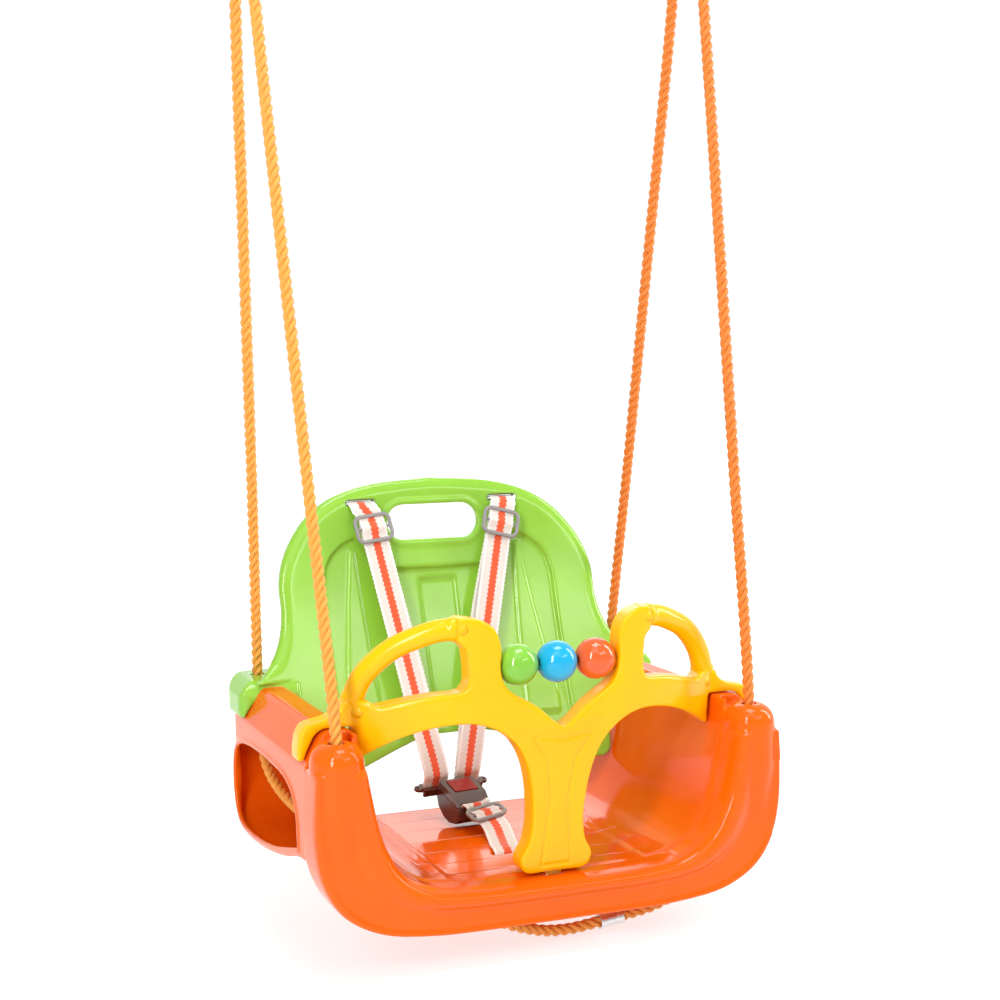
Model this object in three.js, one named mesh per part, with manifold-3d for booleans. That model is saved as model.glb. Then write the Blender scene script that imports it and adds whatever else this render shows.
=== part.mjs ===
// Toddler bucket swing: a moulded seat shell hung on one loop of rope, with a clip-in backrest,
// a lift-up play guard with three turning beads, and a three-strap harness with a centre buckle.
//
// Working frame of the code: X to the right as seen from the front, Y to the back, Z up, millimetres,
// z = 0 at the lowest edge of the front lip. The whole group is then moved so that the origin is the
// middle of the line on which the swing hangs.
import * as THREE from 'three';
import { mergeVertices } from 'three/addons/utils/BufferGeometryUtils.js';
import { TessellateModifier } from 'three/addons/modifiers/TessellateModifier.js';
import Module from 'manifold-3d';

const wasm = await Module();
wasm.setup();

// ---------------------------------------------------------------- driving dimensions
const GAP = 0.4;                 // clearance between touching pieces
const WALL = 4;                  // wall of the moulded shell
const SLIVER = 0.03;             // faces thinner than this are merged into their neighbours

const HANG = { x: 216, y: 3.4, z: 871.5 };        // centre of the ring's bottom bar, right side
const RING = { radius: 25, bar: 4 };              // hanging ring: centreline radius, bar radius
const THIMBLE = { drop: 2.5, ropeRadius: 22, eye: 7, half: 6.5 };
const ROPE = { radius: 5, sides: 10 };

const FRONT_HOLE = { x: 194.9, y: -157.7 };       // rope holes in the front posts
const REAR_HOLE = { x: 190, y: 126.3 };           // rope holes in the backrest's feet
const ROPE_HOLE = 6.8;                            // radius of all four

// Half of the seat's cross-section: inside of the trough, from the middle of the floor to the arm.
const TROUGH = [[0, 40], [80, 41], [118, 46], [142, 62], [156, 88], [165, 124], [171, 157], [174, 177]];
// Half of the front lip's outer edge, from the middle of the bottom to the top of the post.
const LIP_EDGE = [[0, 0], [120, 2], [166, 10], [196, 28], [213, 56], [219, 88], [219, 124], [217, 157]];
const FLOOR_TOP = 40;
const FLOOR_FLAT = 90;           // the floor is level out to here, each side of the middle
const LIP = { front: -183, back: -132, edge: -156, inner: -142, lap: 1.3 };
const POST = { radius: 23, depth: 25.5, top: 175, foot: 62 };

const CHEEK = { inner: 120, outer: 215, top: 178, corner: 30, rear: 147, front: -134 };
const CHEEK_SIDE = [[-134, 66], [-100, 63], [-60, 53], [-20, 45], [43, 37], [96, 36], [122, 41],
  [138, 53], [146, 74], [147, 110], [147, 178], [-134, 178]];
const POCKET_MOUTH = [[-104, 72], [-60, 61], [-20, 52], [43, 44], [90, 43], [109, 47], [121, 57], [127, 76],
  [126, 98], [119, 113], [102, 122], [60, 128], [-20, 129], [-66, 125], [-90, 115], [-101, 98]];
const SKIRT_CHAMFER = { inset: 14, drop: 20 };
const FLOOR_REAR = 88;

const BACK = { thickness: 4, rim: 13, bow: 16, halfWidth: 168 };
const BACK_LEAN = [[84, 60], [118, 73], [180, 100], [240, 122], [306, 140], [340, 146], [368, 148]]; // z, y
const BACK_EDGE = [[0, 118], [32, 117], [60, 109], [104, 94], [132, 86], [148, 86], [155, 92], [157, 107],
  [160, 140], [164, 180.5], [204, 180.5], [196, 185], [181, 201], [171, 222], [167, 245], [167, 268],
  [161, 292], [148, 315], [130, 335], [104, 351], [65, 362], [0, 367]];
const HAND_HOLE = { halfWidth: 48.5, bottom: 306, top: 341 };
const STRAP_SLOT = { x: 76, z: 345, halfWidth: 16, halfHeight: 3 };
const FOOT = { x: 190, y: 118, radius: 29, bottom: 150, top: 184 };

const GUARD = { bow: 283, front: -173, thick: 22, bevel: 2.4, lean: 23 };
const CHEEK_SADDLE = 172;       // beyond this the guard runs straight across the arm
const GUARD_TOP = [[0, 174], [10, 181], [22, 192], [34, 200], [46, 207], [52, 214], [55, 225], [55, 248],
  [60, 262], [72, 270], [85, 272], [91, 272]];
const GUARD_SOCKET = [[91, 251], [84, 245], [82.5, 236], [82.5, 214], [87, 209], [104, 207], [128, 202.5],
  [152, 196], [158, 201], [179, 201]];
const GUARD_END = [[181, 194], [190, 188], [204, 184.8], [212, 182.5], [217.5, 173], [219.8, 152],
  [214, 152], [211.4, 159], [202.4, 175.1], [195.6, 178.8], [170, 178.8], [167.6, 152]];
const GUARD_UNDER = [[164, 153], [150, 162], [128, 172.5], [105, 179], [85, 181], [72, 179.5], [58, 174],
  [43, 162], [34, 147], [28, 127], [25, 105], [24.5, 88], [27, 70], [34, 55], [31, 45], [26, 41.5], [0, 41]];
const GRIP = { radius: 10, plug: 7, depth: 8,
  path: [[90.5, 261.5], [105, 259.5], [120, 254], [136, 246], [150, 234], [162, 218], [168.5, 200.5]] };
const SNAP_TAB = { radius: 8, thick: 5, drop: 5, y: -153 };

const BEAD = { radius: 18, pitch: 36.4, z: 228.5, axle: 2.5, bore: 3 };
const AXLE_HALF = 62;

const WEB = { half: 12.5, thick: 1.4 };           // harness webbing, 25 mm wide
const BUCKLE = { x: -14, y: 22, z: 62.5, yaw: 8, pitch: 18 };   // place and angles in degrees
const BUCKLE_SIDE = [[24, 11], [-4, 11], [-20, 1], [-23, -6], [-18, -13], [-6, -18.5], [6, -18.5], [18, -14],
  [24, -6]];                                      // profile in the buckle's own Y and Z
const BUCKLE_HALF = 18.5;
const TONGUE = { x: 17.5, half: 15, thick: 3, inner: 4.2, blade: 16.5, ear: 9 };
const ADJUSTER = { half: 20.5, height: 20, thick: 3, bar: 3 };
const CROTCH_ANCHOR = { x: -13, y: -84 };

// ---------------------------------------------------------------- colours
const finish = (color, roughness, metalness = 0) =>
  new THREE.MeshStandardMaterial({ color, roughness, metalness });
const ORANGE = finish(0xee5a1c, 0.3);
const GREEN = finish(0x82c43c, 0.3);
const YELLOW = finish(0xffc20c, 0.32);
const ROPE_ORANGE = finish(0xf09a3c, 0.75);
const STEEL = finish(0xc9ccd0, 0.3, 1);
const NYLON = finish(0xe9e4dc, 0.7);
const GREY_PLASTIC = finish(0x8f8b88, 0.4);
const WEBBING = finish(0xf3ede6, 0.85);
const BROWN = finish(0x3a1f1b, 0.35);
const DARK_RED = finish(0x8e1a18, 0.35);
const SMOKE = finish(0x55504e, 0.35);

// ---------------------------------------------------------------- helpers
const group = new THREE.Group();
group.position.set(0, -HANG.y, -HANG.z);
const SIDES = [['left', -1], ['right', 1]];

function add(name, geometry, material, parent = group) {
  const mesh = new THREE.Mesh(geometry, material);
  mesh.name = name;
  parent.add(mesh);
  return mesh;
}

// A closed three.js geometry becomes a solid that can be cut, and the other way round.
function solid(geometry) {
  const g = geometry.clone();
  g.deleteAttribute('normal');
  g.deleteAttribute('uv');
  const m = mergeVertices(g, 1e-3);
  return new wasm.Manifold(new wasm.Mesh({
    numProp: 3,
    vertProperties: new Float32Array(m.attributes.position.array),
    triVerts: new Uint32Array(m.index.array),
  }));
}

function toGeometry(manifold) {
  const mesh = manifold.simplify(SLIVER).getMesh();
  const g = new THREE.BufferGeometry();
  g.setAttribute('position', new THREE.BufferAttribute(new Float32Array(mesh.vertProperties), 3));
  g.setIndex(new THREE.BufferAttribute(new Uint32Array(mesh.triVerts), 1));
  return g;
}

// Maps every vertex through fn, and turns the faces round when the map is a mirror.
function warp(geometry, fn, mirrored = false) {
  const g = geometry.clone();
  g.deleteAttribute('normal');
  g.deleteAttribute('uv');
  const p = g.attributes.position;
  for (let i = 0; i < p.count; i++) {
    const v = fn(p.getX(i), p.getY(i), p.getZ(i));
    p.setXYZ(i, v[0], v[1], v[2]);
  }
  const merged = mergeVertices(g, 1e-3);
  if (mirrored) {
    const index = merged.index.array;
    for (let i = 0; i < index.length; i += 3) {
      [index[i], index[i + 1]] = [index[i + 1], index[i]];
    }
  }
  return merged;
}

const mirrorX = (geometry) => warp(geometry, (x, y, z) => [-x, y, z], true);

// Piecewise-linear reading of a table of [input, output] pairs.
function along(table, t) {
  let i = 1;
  while (i < table.length - 1 && table[i][0] < t) i++;
  const [a, b] = [table[i - 1], table[i]];
  const k = THREE.MathUtils.clamp((t - a[0]) / (b[0] - a[0]), 0, 1);
  return a[1] + (b[1] - a[1]) * k;
}

// A smooth curve through 2-D points, read at n + 1 even steps.
function smooth(points, n) {
  const curve = new THREE.CatmullRomCurve3(points.map(([a, b]) => new THREE.Vector3(a, b, 0)));
  return curve.getSpacedPoints(n).map((v) => [v.x, v.y]);
}

function polygon(points) {
  return new THREE.Shape(points.map(([a, b]) => new THREE.Vector2(a, b)));
}

// Extrudes an outline of [x, z] pairs along +Y, from y0 to y1.
function extrudeY(shape, y0, y1, bevel = 0) {
  const g = new THREE.ExtrudeGeometry(shape, {
    depth: y1 - y0 - 2 * bevel, bevelEnabled: bevel > 0, bevelThickness: bevel, bevelSize: bevel,
    bevelOffset: -bevel, bevelSegments: 1, curveSegments: 5,
  });
  g.translate(0, 0, bevel);
  return warp(g, (x, y, z) => [x, y0 + z, y], true);
}

// Extrudes an outline of [y, z] pairs along +X, from x0 to x1.
function extrudeX(shape, x0, x1) {
  const g = new THREE.ExtrudeGeometry(shape, { depth: x1 - x0, bevelEnabled: false, curveSegments: 8 });
  return warp(g, (x, y, z) => [x0 + z, x, y]);
}

// Extrudes an outline of [x, y] pairs along +Z, from z0 to z1.
function extrudeZ(shape, z0, z1) {
  const g = new THREE.ExtrudeGeometry(shape, { depth: z1 - z0, bevelEnabled: false, curveSegments: 10 });
  g.translate(0, 0, z0);
  return g;
}

function box(x0, x1, y0, y1, z0, z1) {
  const g = new THREE.BoxGeometry(x1 - x0, y1 - y0, z1 - z0);
  g.translate((x0 + x1) / 2, (y0 + y1) / 2, (z0 + z1) / 2);
  return g;
}

function cylinderZ(x, y, radius, z0, z1, sides = 24) {
  const g = new THREE.CylinderGeometry(radius, radius, z1 - z0, sides);
  g.rotateX(Math.PI / 2);
  g.translate(x, y, (z0 + z1) / 2);
  return g;
}

// Joins equal loops of points into one closed body, with a flat triangulated cap on both ends.
function loft(loops) {
  const n = loops[0].length;
  const position = loops.flat(2);
  const index = [];
  for (let i = 0; i < loops.length - 1; i++) {
    for (let j = 0; j < n; j++) {
      const [a, b] = [i * n + j, i * n + ((j + 1) % n)];
      index.push(a, b, b + n, a, b + n, a + n);
    }
  }
  const cap = (k, flip) => {
    const loop = loops[k].map((p) => new THREE.Vector3(...p));
    const normal = new THREE.Vector3();
    loop.forEach((p, j) => normal.add(new THREE.Vector3().crossVectors(p, loop[(j + 1) % n])));
    const turn = new THREE.Quaternion().setFromUnitVectors(normal.normalize(), new THREE.Vector3(0, 0, 1));
    const flat = loop.map((p) => p.clone().applyQuaternion(turn)).map((p) => new THREE.Vector2(p.x, p.y));
    for (const [a, b, c] of THREE.ShapeUtils.triangulateShape(flat, [])) {
      index.push(...(flip ? [k * n + a, k * n + c, k * n + b] : [k * n + a, k * n + b, k * n + c]));
    }
  };
  cap(0, true);
  cap(loops.length - 1, false);
  const g = new THREE.BufferGeometry();
  g.setAttribute('position', new THREE.Float32BufferAttribute(position, 3));
  g.setIndex(index);
  const s = solid(g);
  return s.volume() < 0 || s.isEmpty() ? turned(g) : g;
}

function turned(geometry) {
  const index = geometry.index.array;
  for (let i = 0; i < index.length; i += 3) [index[i], index[i + 1]] = [index[i + 1], index[i]];
  return geometry;
}

// ---------------------------------------------------------------- seat shell
// The lip follows the trough's edge on its inside and LIP_EDGE on its outside. Its section is a
// rounded roll that bulges to the front.
function lipSections(inset, back) {
  const steps = 10;
  const inner = smooth(TROUGH, steps);
  const outer = smooth(LIP_EDGE, steps);
  const half = inner.map(([xi, zi], k) => {
    const [xo, zo] = outer[k];
    const width = Math.hypot(xo - xi, zo - zi);
    const at = (s) => {
      const f = (LIP.lap + inset + s * (width - LIP.lap - 2 * inset)) / width;
      return [xi + (xo - xi) * f, zi + (zo - zi) * f];
    };
    const front = LIP.front + inset;
    const profile = [[0, back], [0, LIP.inner - 12], [0.08, front + 9], [0.27, front + 1.5], [0.5, front],
      [0.73, front + 3.5], [0.92, front + 12], [1, LIP.edge - 6], [1, back]];
    return profile.map(([s, y]) => {
      const [x, z] = at(s);
      return [x, y, z];
    });
  });
  const mirrored = half.slice(1).reverse().map((loop) => loop.map(([x, y, z]) => [-x, y, z]));
  return loft([...mirrored, ...half]);
}

function postSolid(side, inset) {
  const r = POST.radius - inset;
  const top = POST.top - inset;
  const foot = POST.foot + inset;
  // the foot is tapered, so that the post runs into the lip without a step
  const profile = [[0, foot], [r * 0.66, foot], [r * 0.84, foot + 26], [r, foot + 56], [r, top - 22],
    [r * 0.93, top - 12], [r * 0.72, top - 4.5], [r * 0.4, top - 1], [0, top]].map(
    ([a, b]) => new THREE.Vector2(a, b));
  const g = new THREE.LatheGeometry(profile, 20);
  g.rotateX(Math.PI / 2);
  return warp(g, (x, y, z) => [side * (FRONT_HOLE.x + x), FRONT_HOLE.y + (y * POST.depth) / POST.radius, z],
    side < 0);
}

// The trough's outline, from one arm to the other: the inside, or the outside one wall further out.
function troughOutline(offset) {
  const steps = 14;
  const inner = smooth(TROUGH, steps);
  const half = inner.map(([x, z], k) => {
    if (x < FLOOR_FLAT) return [x, FLOOR_TOP - offset];
    const [xa, za] = inner[Math.max(k - 1, 0)];
    const [xb, zb] = inner[Math.min(k + 1, steps)];
    const length = Math.hypot(xb - xa, zb - za);
    return [x + (offset * (zb - za)) / length, z - (offset * (xb - xa)) / length];
  });
  return [...half.slice(1).reverse().map(([x, z]) => [-x, z]), ...half];
}

function troughSolid(offset, top, y0, y1) {
  const outline = troughOutline(offset);
  const width = outline[outline.length - 1][0];
  return solid(extrudeY(polygon([...outline, [width, top], [-width, top]]), y0, y1));
}

// One side of the shell: the arm with its facetted outer skirt, and the curved sheet that closes the
// pocket below and behind. offset is 0 for the outer form, and a wall for the hollow in it.
function cheekForm(offset) {
  const { inner, outer, top, front, rear, corner } = CHEEK;
  const plan = new THREE.Shape();
  plan.moveTo(inner, front + offset);
  plan.lineTo(outer - offset, front + offset);
  plan.lineTo(outer - offset, rear - corner);
  plan.absarc(outer - corner, rear - corner, corner - offset, 0, Math.PI / 2, false);
  plan.lineTo(inner, rear - offset);
  const side = insetOutline(CHEEK_SIDE, offset);
  const { inset, drop } = SKIRT_CHAMFER;
  const x = outer - offset;
  const end = [[inner, 20], [x, 20], [x, top - drop - 10], [x - 5, top - drop],
    [x - inset, top - 4 - offset], [x - inset - 6, top - offset], [inner, top - offset]];
  return solid(extrudeZ(plan, 20, top + 5))
    .intersect(solid(extrudeX(polygon(side), inner, outer)))
    .intersect(solid(extrudeY(polygon(end), front - 1, rear + 1)));
}

function pocketMouth() {
  const rim = smooth([...POCKET_MOUTH, POCKET_MOUTH[0]], 30).slice(0, -1);
  return solid(extrudeX(polygon(rim), CHEEK.outer - 12, CHEEK.outer + 10));
}

const onSideSolid = (manifold, side) => (side < 0 ? solid(mirrorX(toGeometry(manifold))) : manifold);

function seatShell() {
  const above = solid(box(-300, 300, -300, 0, POST.top - 25, 300));
  let lip = solid(lipSections(0, LIP.back)).subtract(above);
  let cavity = solid(lipSections(WALL, LIP.back - WALL)).subtract(above);
  for (const [, side] of SIDES) {
    lip = lip.add(solid(postSolid(side, 0)));
    cavity = cavity.add(solid(postSolid(side, WALL)));
  }
  const underside = solid(box(-159, 159, LIP.back - 30, LIP.back + 2, -5, FLOOR_TOP - WALL - 2));
  lip = lip.subtract(cavity).subtract(underside);

  const [y0, y1] = [LIP.inner - 8, CHEEK.rear - WALL];
  const outside = troughSolid(WALL, CHEEK.top - 0.5, y0, y1);
  const body = cheekForm(0);
  const hollow = cheekForm(WALL).subtract(outside);
  let tub = outside;
  for (const [, side] of SIDES) {
    tub = tub.add(onSideSolid(body, side));
    tub = tub.subtract(onSideSolid(hollow.add(pocketMouth()), side));
  }
  tub = tub.subtract(troughSolid(0, CHEEK.top + 10, y0 - 1, CHEEK.rear + 5));
  // the floor stops short of the backrest, so that water and crumbs fall out behind
  tub = tub.subtract(solid(box(-118, 118, FLOOR_REAR, 200, 20, 80)));
  let shell = lip.add(tub);
  for (const [, side] of SIDES) {
    const [fx, rx] = [side * FRONT_HOLE.x, side * REAR_HOLE.x];
    shell = shell.subtract(solid(cylinderZ(fx, FRONT_HOLE.y, ROPE_HOLE, 150, 200)));
    shell = shell.subtract(solid(cylinderZ(rx, REAR_HOLE.y, ROPE_HOLE, 160, 200)));
    // the way of the rope from the pocket to the underside of the floor
    shell = shell.subtract(solid(box(...(side < 0 ? [-168, -147] : [147, 168]), -14, 14, 20, 52)));
  }
  const { x, y } = CROTCH_ANCHOR;
  shell = shell.subtract(solid(box(x - 14.5, x + 14.5, y - 4, y + 4, FLOOR_TOP - 10, FLOOR_TOP + 5)));
  const { radius, thick, drop } = SNAP_TAB;
  shell = shell.subtract(solid(box(-radius - 1, radius + 1, SNAP_TAB.y - thick - 1, SNAP_TAB.y + 1,
    FLOOR_TOP - drop - 1, FLOOR_TOP + 5)));
  return shell;
}

add('seat_shell', toGeometry(seatShell()), ORANGE);

// ---------------------------------------------------------------- backrest
const backFace = (x, z) => along(BACK_LEAN, z) - BACK.bow * (x / BACK.halfWidth) ** 2;

// Moves every side of a closed outline inwards by d.
function insetOutline(points, d) {
  const n = points.length;
  const area = THREE.ShapeUtils.area(points.map(([a, b]) => new THREE.Vector2(a, b)));
  const turn = Math.sign(area);
  return points.map((p, i) => {
    const [a, b] = [points[(i + n - 1) % n], points[(i + 1) % n]];
    const before = new THREE.Vector2(p[0] - a[0], p[1] - a[1]).normalize();
    const after = new THREE.Vector2(b[0] - p[0], b[1] - p[1]).normalize();
    const normal = new THREE.Vector2(-(before.y + after.y), before.x + after.x).normalize();
    const stretch = Math.min(1 / Math.max(normal.dot(new THREE.Vector2(-before.y, before.x)), 0.5), 1.6);
    return [p[0] + turn * normal.x * d * stretch, p[1] + turn * normal.y * d * stretch];
  });
}

const bothSides = (half) => [...half, ...half.slice(1, -1).reverse().map(([x, z]) => [-x, z])];

function roundedHole(halfWidth, low, high, centre = 0) {
  const r = Math.min((high - low) / 2, halfWidth) * 0.98;
  const path = new THREE.Path();
  path.moveTo(centre + halfWidth - r, low);
  path.absarc(centre + halfWidth - r, low + r, r, -Math.PI / 2, 0, false);
  path.absarc(centre + halfWidth - r, high - r, r, 0, Math.PI / 2, false);
  path.absarc(centre - halfWidth + r, high - r, r, Math.PI / 2, Math.PI, false);
  path.absarc(centre - halfWidth + r, low + r, r, Math.PI, 1.5 * Math.PI, false);
  path.closePath();
  return path;
}

// Bends a flat sheet, extruded from y = 0, on to the backrest's leaning and slightly hollow face.
const leanBack = (geometry) => warp(
  new TessellateModifier(50, 14).modify(geometry), (x, y, z) => [x, backFace(x, z) + y, z]);

function backFoot(side) {
  const { x, y, radius, bottom, top } = FOOT;
  const plan = new THREE.Shape();
  plan.moveTo(x - radius, y - 40);
  plan.lineTo(x + radius - 10, y - 40);
  plan.quadraticCurveTo(x + radius, y - 40, x + radius, y - 28);
  plan.lineTo(x + radius, y + 5);
  plan.absarc(x + radius - 28, y + 5, 28, 0, Math.PI / 2, false);
  plan.lineTo(x - radius, y + 33);
  const arm = cheekForm(-GAP).subtract(troughSolid(-GAP, CHEEK.top + 20, -200, 200));
  const inTub = solid(box(100, 172.5, 0, 200, 0, CHEEK.top - 8));
  return onSideSolid(solid(extrudeZ(plan, bottom, top)).subtract(arm).subtract(inTub), side);
}

function backrest() {
  const outline = bothSides(BACK_EDGE);
  const panel = polygon(outline);
  panel.holes.push(roundedHole(HAND_HOLE.halfWidth, HAND_HOLE.bottom, HAND_HOLE.top));
  for (const [, side] of SIDES) {
    const { x, z, halfWidth, halfHeight } = STRAP_SLOT;
    panel.holes.push(roundedHole(halfWidth, z - halfHeight, z + halfHeight, side * x));
  }
  const rim = polygon(outline);
  rim.holes.push(polygon(insetOutline(outline, BACK.thickness)));
  let body = solid(leanBack(extrudeY(panel, 0, BACK.thickness)))
    .add(solid(leanBack(extrudeY(rim, 0.2, BACK.rim))));
  for (const [, side] of SIDES) {
    body = body.add(backFoot(side));
    body = body.subtract(solid(cylinderZ(side * REAR_HOLE.x, REAR_HOLE.y, ROPE_HOLE, 140, 200)));
  }
  return body;
}
add('backrest', toGeometry(backrest()), GREEN);

// ---------------------------------------------------------------- play guard
// The guard is bowed to the front in plan, and its middle post leans back to its foot.
function guardMiddle(x, z) {
  const across = Math.min(Math.abs(x), CHEEK_SADDLE);
  const bow = GUARD.bow - Math.sqrt(GUARD.bow ** 2 - across ** 2);
  const lean = THREE.MathUtils.clamp((180 - z) / 138, 0, 1.2) * GUARD.lean * Math.exp(-((x / 70) ** 2));
  return GUARD.front + bow + lean;
}

const gripCurve = () => new THREE.CatmullRomCurve3(
  GRIP.path.map(([x, z]) => new THREE.Vector3(x, guardMiddle(x, z), z)));

function tubeAlong(curve, radius, sides, steps) {
  const ring = [];
  for (let i = 0; i < sides; i++) {
    const a = (2 * Math.PI * i) / sides;
    ring.push(new THREE.Vector2(radius * Math.cos(a), radius * Math.sin(a)));
  }
  return new THREE.ExtrudeGeometry(new THREE.Shape(ring), { steps, extrudePath: curve, bevelEnabled: false });
}

// A plug on each end of a curve, reaching d past the end, as two short straight tubes.
function plugs(curve, radius, d) {
  const ends = [[curve.getPoint(0), curve.getTangent(0).negate()], [curve.getPoint(1), curve.getTangent(1)]];
  return ends.map(([p, t]) => solid(tubeAlong(
    new THREE.LineCurve3(p.clone().addScaledVector(t, -6), p.clone().addScaledVector(t, d)), radius, 12, 1)));
}

function playGuard() {
  const half = [...GUARD_TOP, ...GUARD_SOCKET, ...GUARD_END, ...GUARD_UNDER];
  const flat = extrudeY(polygon(bothSides(half)), -GUARD.thick / 2, GUARD.thick / 2, GUARD.bevel);
  const bent = warp(new TessellateModifier(38, 14).modify(flat), (x, y, z) => [x, guardMiddle(x, z) + y, z]);
  let guard = solid(bent);
  const { radius, thick, drop, y } = SNAP_TAB;
  const tab = new THREE.Shape();
  tab.moveTo(-radius, FLOOR_TOP + 6);
  tab.absarc(0, FLOOR_TOP - drop + radius, radius, Math.PI, 2 * Math.PI, false);
  tab.lineTo(radius, FLOOR_TOP + 6);
  guard = guard.add(solid(extrudeY(tab, y - thick, y)));
  const axle = new THREE.CylinderGeometry(BEAD.axle + GAP, BEAD.axle + GAP, 2 * AXLE_HALF + 1, 16);
  axle.rotateZ(Math.PI / 2);
  axle.translate(0, guardMiddle(55, BEAD.z), BEAD.z);
  guard = guard.subtract(solid(axle));
  for (const plug of plugs(gripCurve(), GRIP.plug + GAP, GRIP.depth + GAP)) {
    guard = guard.subtract(plug).subtract(solid(mirrorX(toGeometry(plug))));
  }
  return guard;
}

add('play_guard', toGeometry(playGuard()), YELLOW);

for (const [name, side] of SIDES) {
  const curve = gripCurve();
  let grip = solid(tubeAlong(curve, GRIP.radius, 14, 12));
  // the tube's ends stop short of the guard's two socket faces
  grip = grip.subtract(solid(box(60, 91 + GAP, -220, -100, 225, 300)));
  grip = grip.subtract(solid(box(140, 200, -220, -80, 150, 201 + GAP)));
  for (const plug of plugs(curve, GRIP.plug, GRIP.depth)) grip = grip.add(plug);
  add(`${name}_grip`, toGeometry(onSideSolid(grip, side)), YELLOW);
}

// ---------------------------------------------------------------- beads and their axle
const axleY = guardMiddle(55, BEAD.z);
const axleRod = new THREE.CylinderGeometry(BEAD.axle, BEAD.axle, 2 * AXLE_HALF, 16);
axleRod.rotateZ(Math.PI / 2);
add('bead_axle', axleRod, STEEL).position.set(0, axleY, BEAD.z);

const BEADS = [['green_bead', -1, 0x7cc242], ['blue_bead', 0, 0x1ba7dc], ['red_bead', 1, 0xe8481c]];
for (const [name, place, color] of BEADS) {
  const ball = new THREE.SphereGeometry(BEAD.radius, 16, 12);
  ball.rotateZ(Math.PI / 2);
  const bore = new THREE.CylinderGeometry(BEAD.bore, BEAD.bore, 3 * BEAD.radius, 16);
  bore.rotateZ(Math.PI / 2);
  const bead = add(name, toGeometry(solid(ball).subtract(solid(bore))), finish(color, 0.15));
  bead.position.set(place * BEAD.pitch, axleY, BEAD.z);
}

// ---------------------------------------------------------------- rope, thimbles, rings, ferrule
// Right half of the loop, from the ferrule under the seat, up the front leg, over the thimble, down
// the rear leg, through the pocket and under the floor to the middle.
const ROUTE_RIGHT = [
  [80, -144.5, -13], [98, -145.5, -9.8], [116, -146.2, -4.2], [132, -146.8, 3.5],
  [147, -147.6, 13], [161, -149.3, 24.5], [173, -151.8, 39], [183, -155, 60], [190, -157.5, 88],
  [194, -158.6, 125], [194.9, -157.7, 176], [201.7, -116, 385], [208.7, -73, 600], [214, -39, 770],
  [216, -18.2, 873.3], [216, -13, 883.6], [216, -4, 889.7], [216, 6, 890.8], [216, 16.5, 886.7],
  [216, 23.3, 878.5], [216, 25.2, 872.2], [213, 40, 770], [206, 65.5, 595], [197.5, 96, 382],
  [190, 126.3, 180], [189.8, 126, 152], [189.3, 123.5, 126], [188, 116, 104], [186, 102, 89],
  [183, 83, 79], [179.5, 62, 72], [175, 41, 66.5], [168.5, 22, 60], [161, 7, 50], [153, -1, 37],
  [141, -4, 27.5], [120, -5, 22.5], [80, -5, 20.5], [30, -5, 20],
];
const ROUTE_MIDDLE = [[42, -144, -17.8], [20, -143.6, -19.8], [-3, -143.4, -18.2],
  [-25, -143.6, -12.2], [-46, -144, -4], [-68, -144.6, 3], [-94, -145.6, 7], [-120, -146.5, 8.4]];
const FERRULE = { x: [50, 72], z: [-16.6, -14.1], y: -144.2, inner: 5.5, outer: 7.4 };
const ROUTE_LEFT_FROM = 5;       // the left half joins the crossing at this point of the mirrored list

class Route extends THREE.CatmullRomCurve3 {
  getPointAt(t, target) { return this.getPoint(t, target); }
  getTangentAt(t, target) { return this.getTangent(t, target); }
}

function ropeGeometry() {
  const ferruleMid = [(FERRULE.x[0] + FERRULE.x[1]) / 2, FERRULE.y, (FERRULE.z[0] + FERRULE.z[1]) / 2];
  const mirrored = ROUTE_RIGHT.slice(ROUTE_LEFT_FROM).map(([x, y, z]) => [-x, y, z]);
  const points = [[ferruleMid[0] + 0.6, ferruleMid[1], ferruleMid[2]], ...ROUTE_RIGHT,
    ...mirrored.reverse(), ...ROUTE_MIDDLE.slice().reverse(),
    [ferruleMid[0] - 0.6, ferruleMid[1], ferruleMid[2]]];
  const route = new Route(points.map((p) => new THREE.Vector3(...p)));
  return tubeAlong(route, ROPE.radius, ROPE.sides, points.length - 1);
}
add('suspension_rope', ropeGeometry(), ROPE_ORANGE);

function ferrule() {
  const length = FERRULE.x[1] - FERRULE.x[0];
  const profile = [[FERRULE.inner, -length / 2], [FERRULE.outer - 0.6, -length / 2],
    [FERRULE.outer, -length / 2 + 0.8], [FERRULE.outer, length / 2 - 0.8],
    [FERRULE.outer - 0.6, length / 2], [FERRULE.inner, length / 2], [FERRULE.inner, -length / 2]];
  const g = new THREE.LatheGeometry(profile.map(([a, b]) => new THREE.Vector2(a, b)), 18);
  g.rotateZ(-Math.PI / 2);
  g.rotateY(-Math.atan2(FERRULE.z[1] - FERRULE.z[0], length));
  return g;
}
add('rope_ferrule', ferrule(), STEEL).position.set(
  (FERRULE.x[0] + FERRULE.x[1]) / 2, FERRULE.y, (FERRULE.z[0] + FERRULE.z[1]) / 2);

function thimble() {
  const { ropeRadius, eye, half } = THIMBLE;
  const groove = ROPE.radius + 0.9;
  const profile = [[eye, 0], [eye + 1.6, half], [ropeRadius + 2.6, half]];
  for (let i = 0; i <= 6; i++) {
    const a = (Math.PI * i) / 6;
    profile.push([ropeRadius - groove * Math.sin(a), (half - 0.4) * Math.cos(a)]);
  }
  profile.push([ropeRadius + 2.6, -half], [eye + 1.6, -half], [eye, 0]);
  profile.reverse();
  const g = new THREE.LatheGeometry(profile.map(([a, b]) => new THREE.Vector2(a, b)), 22);
  g.rotateZ(Math.PI / 2);
  return g;
}

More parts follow.
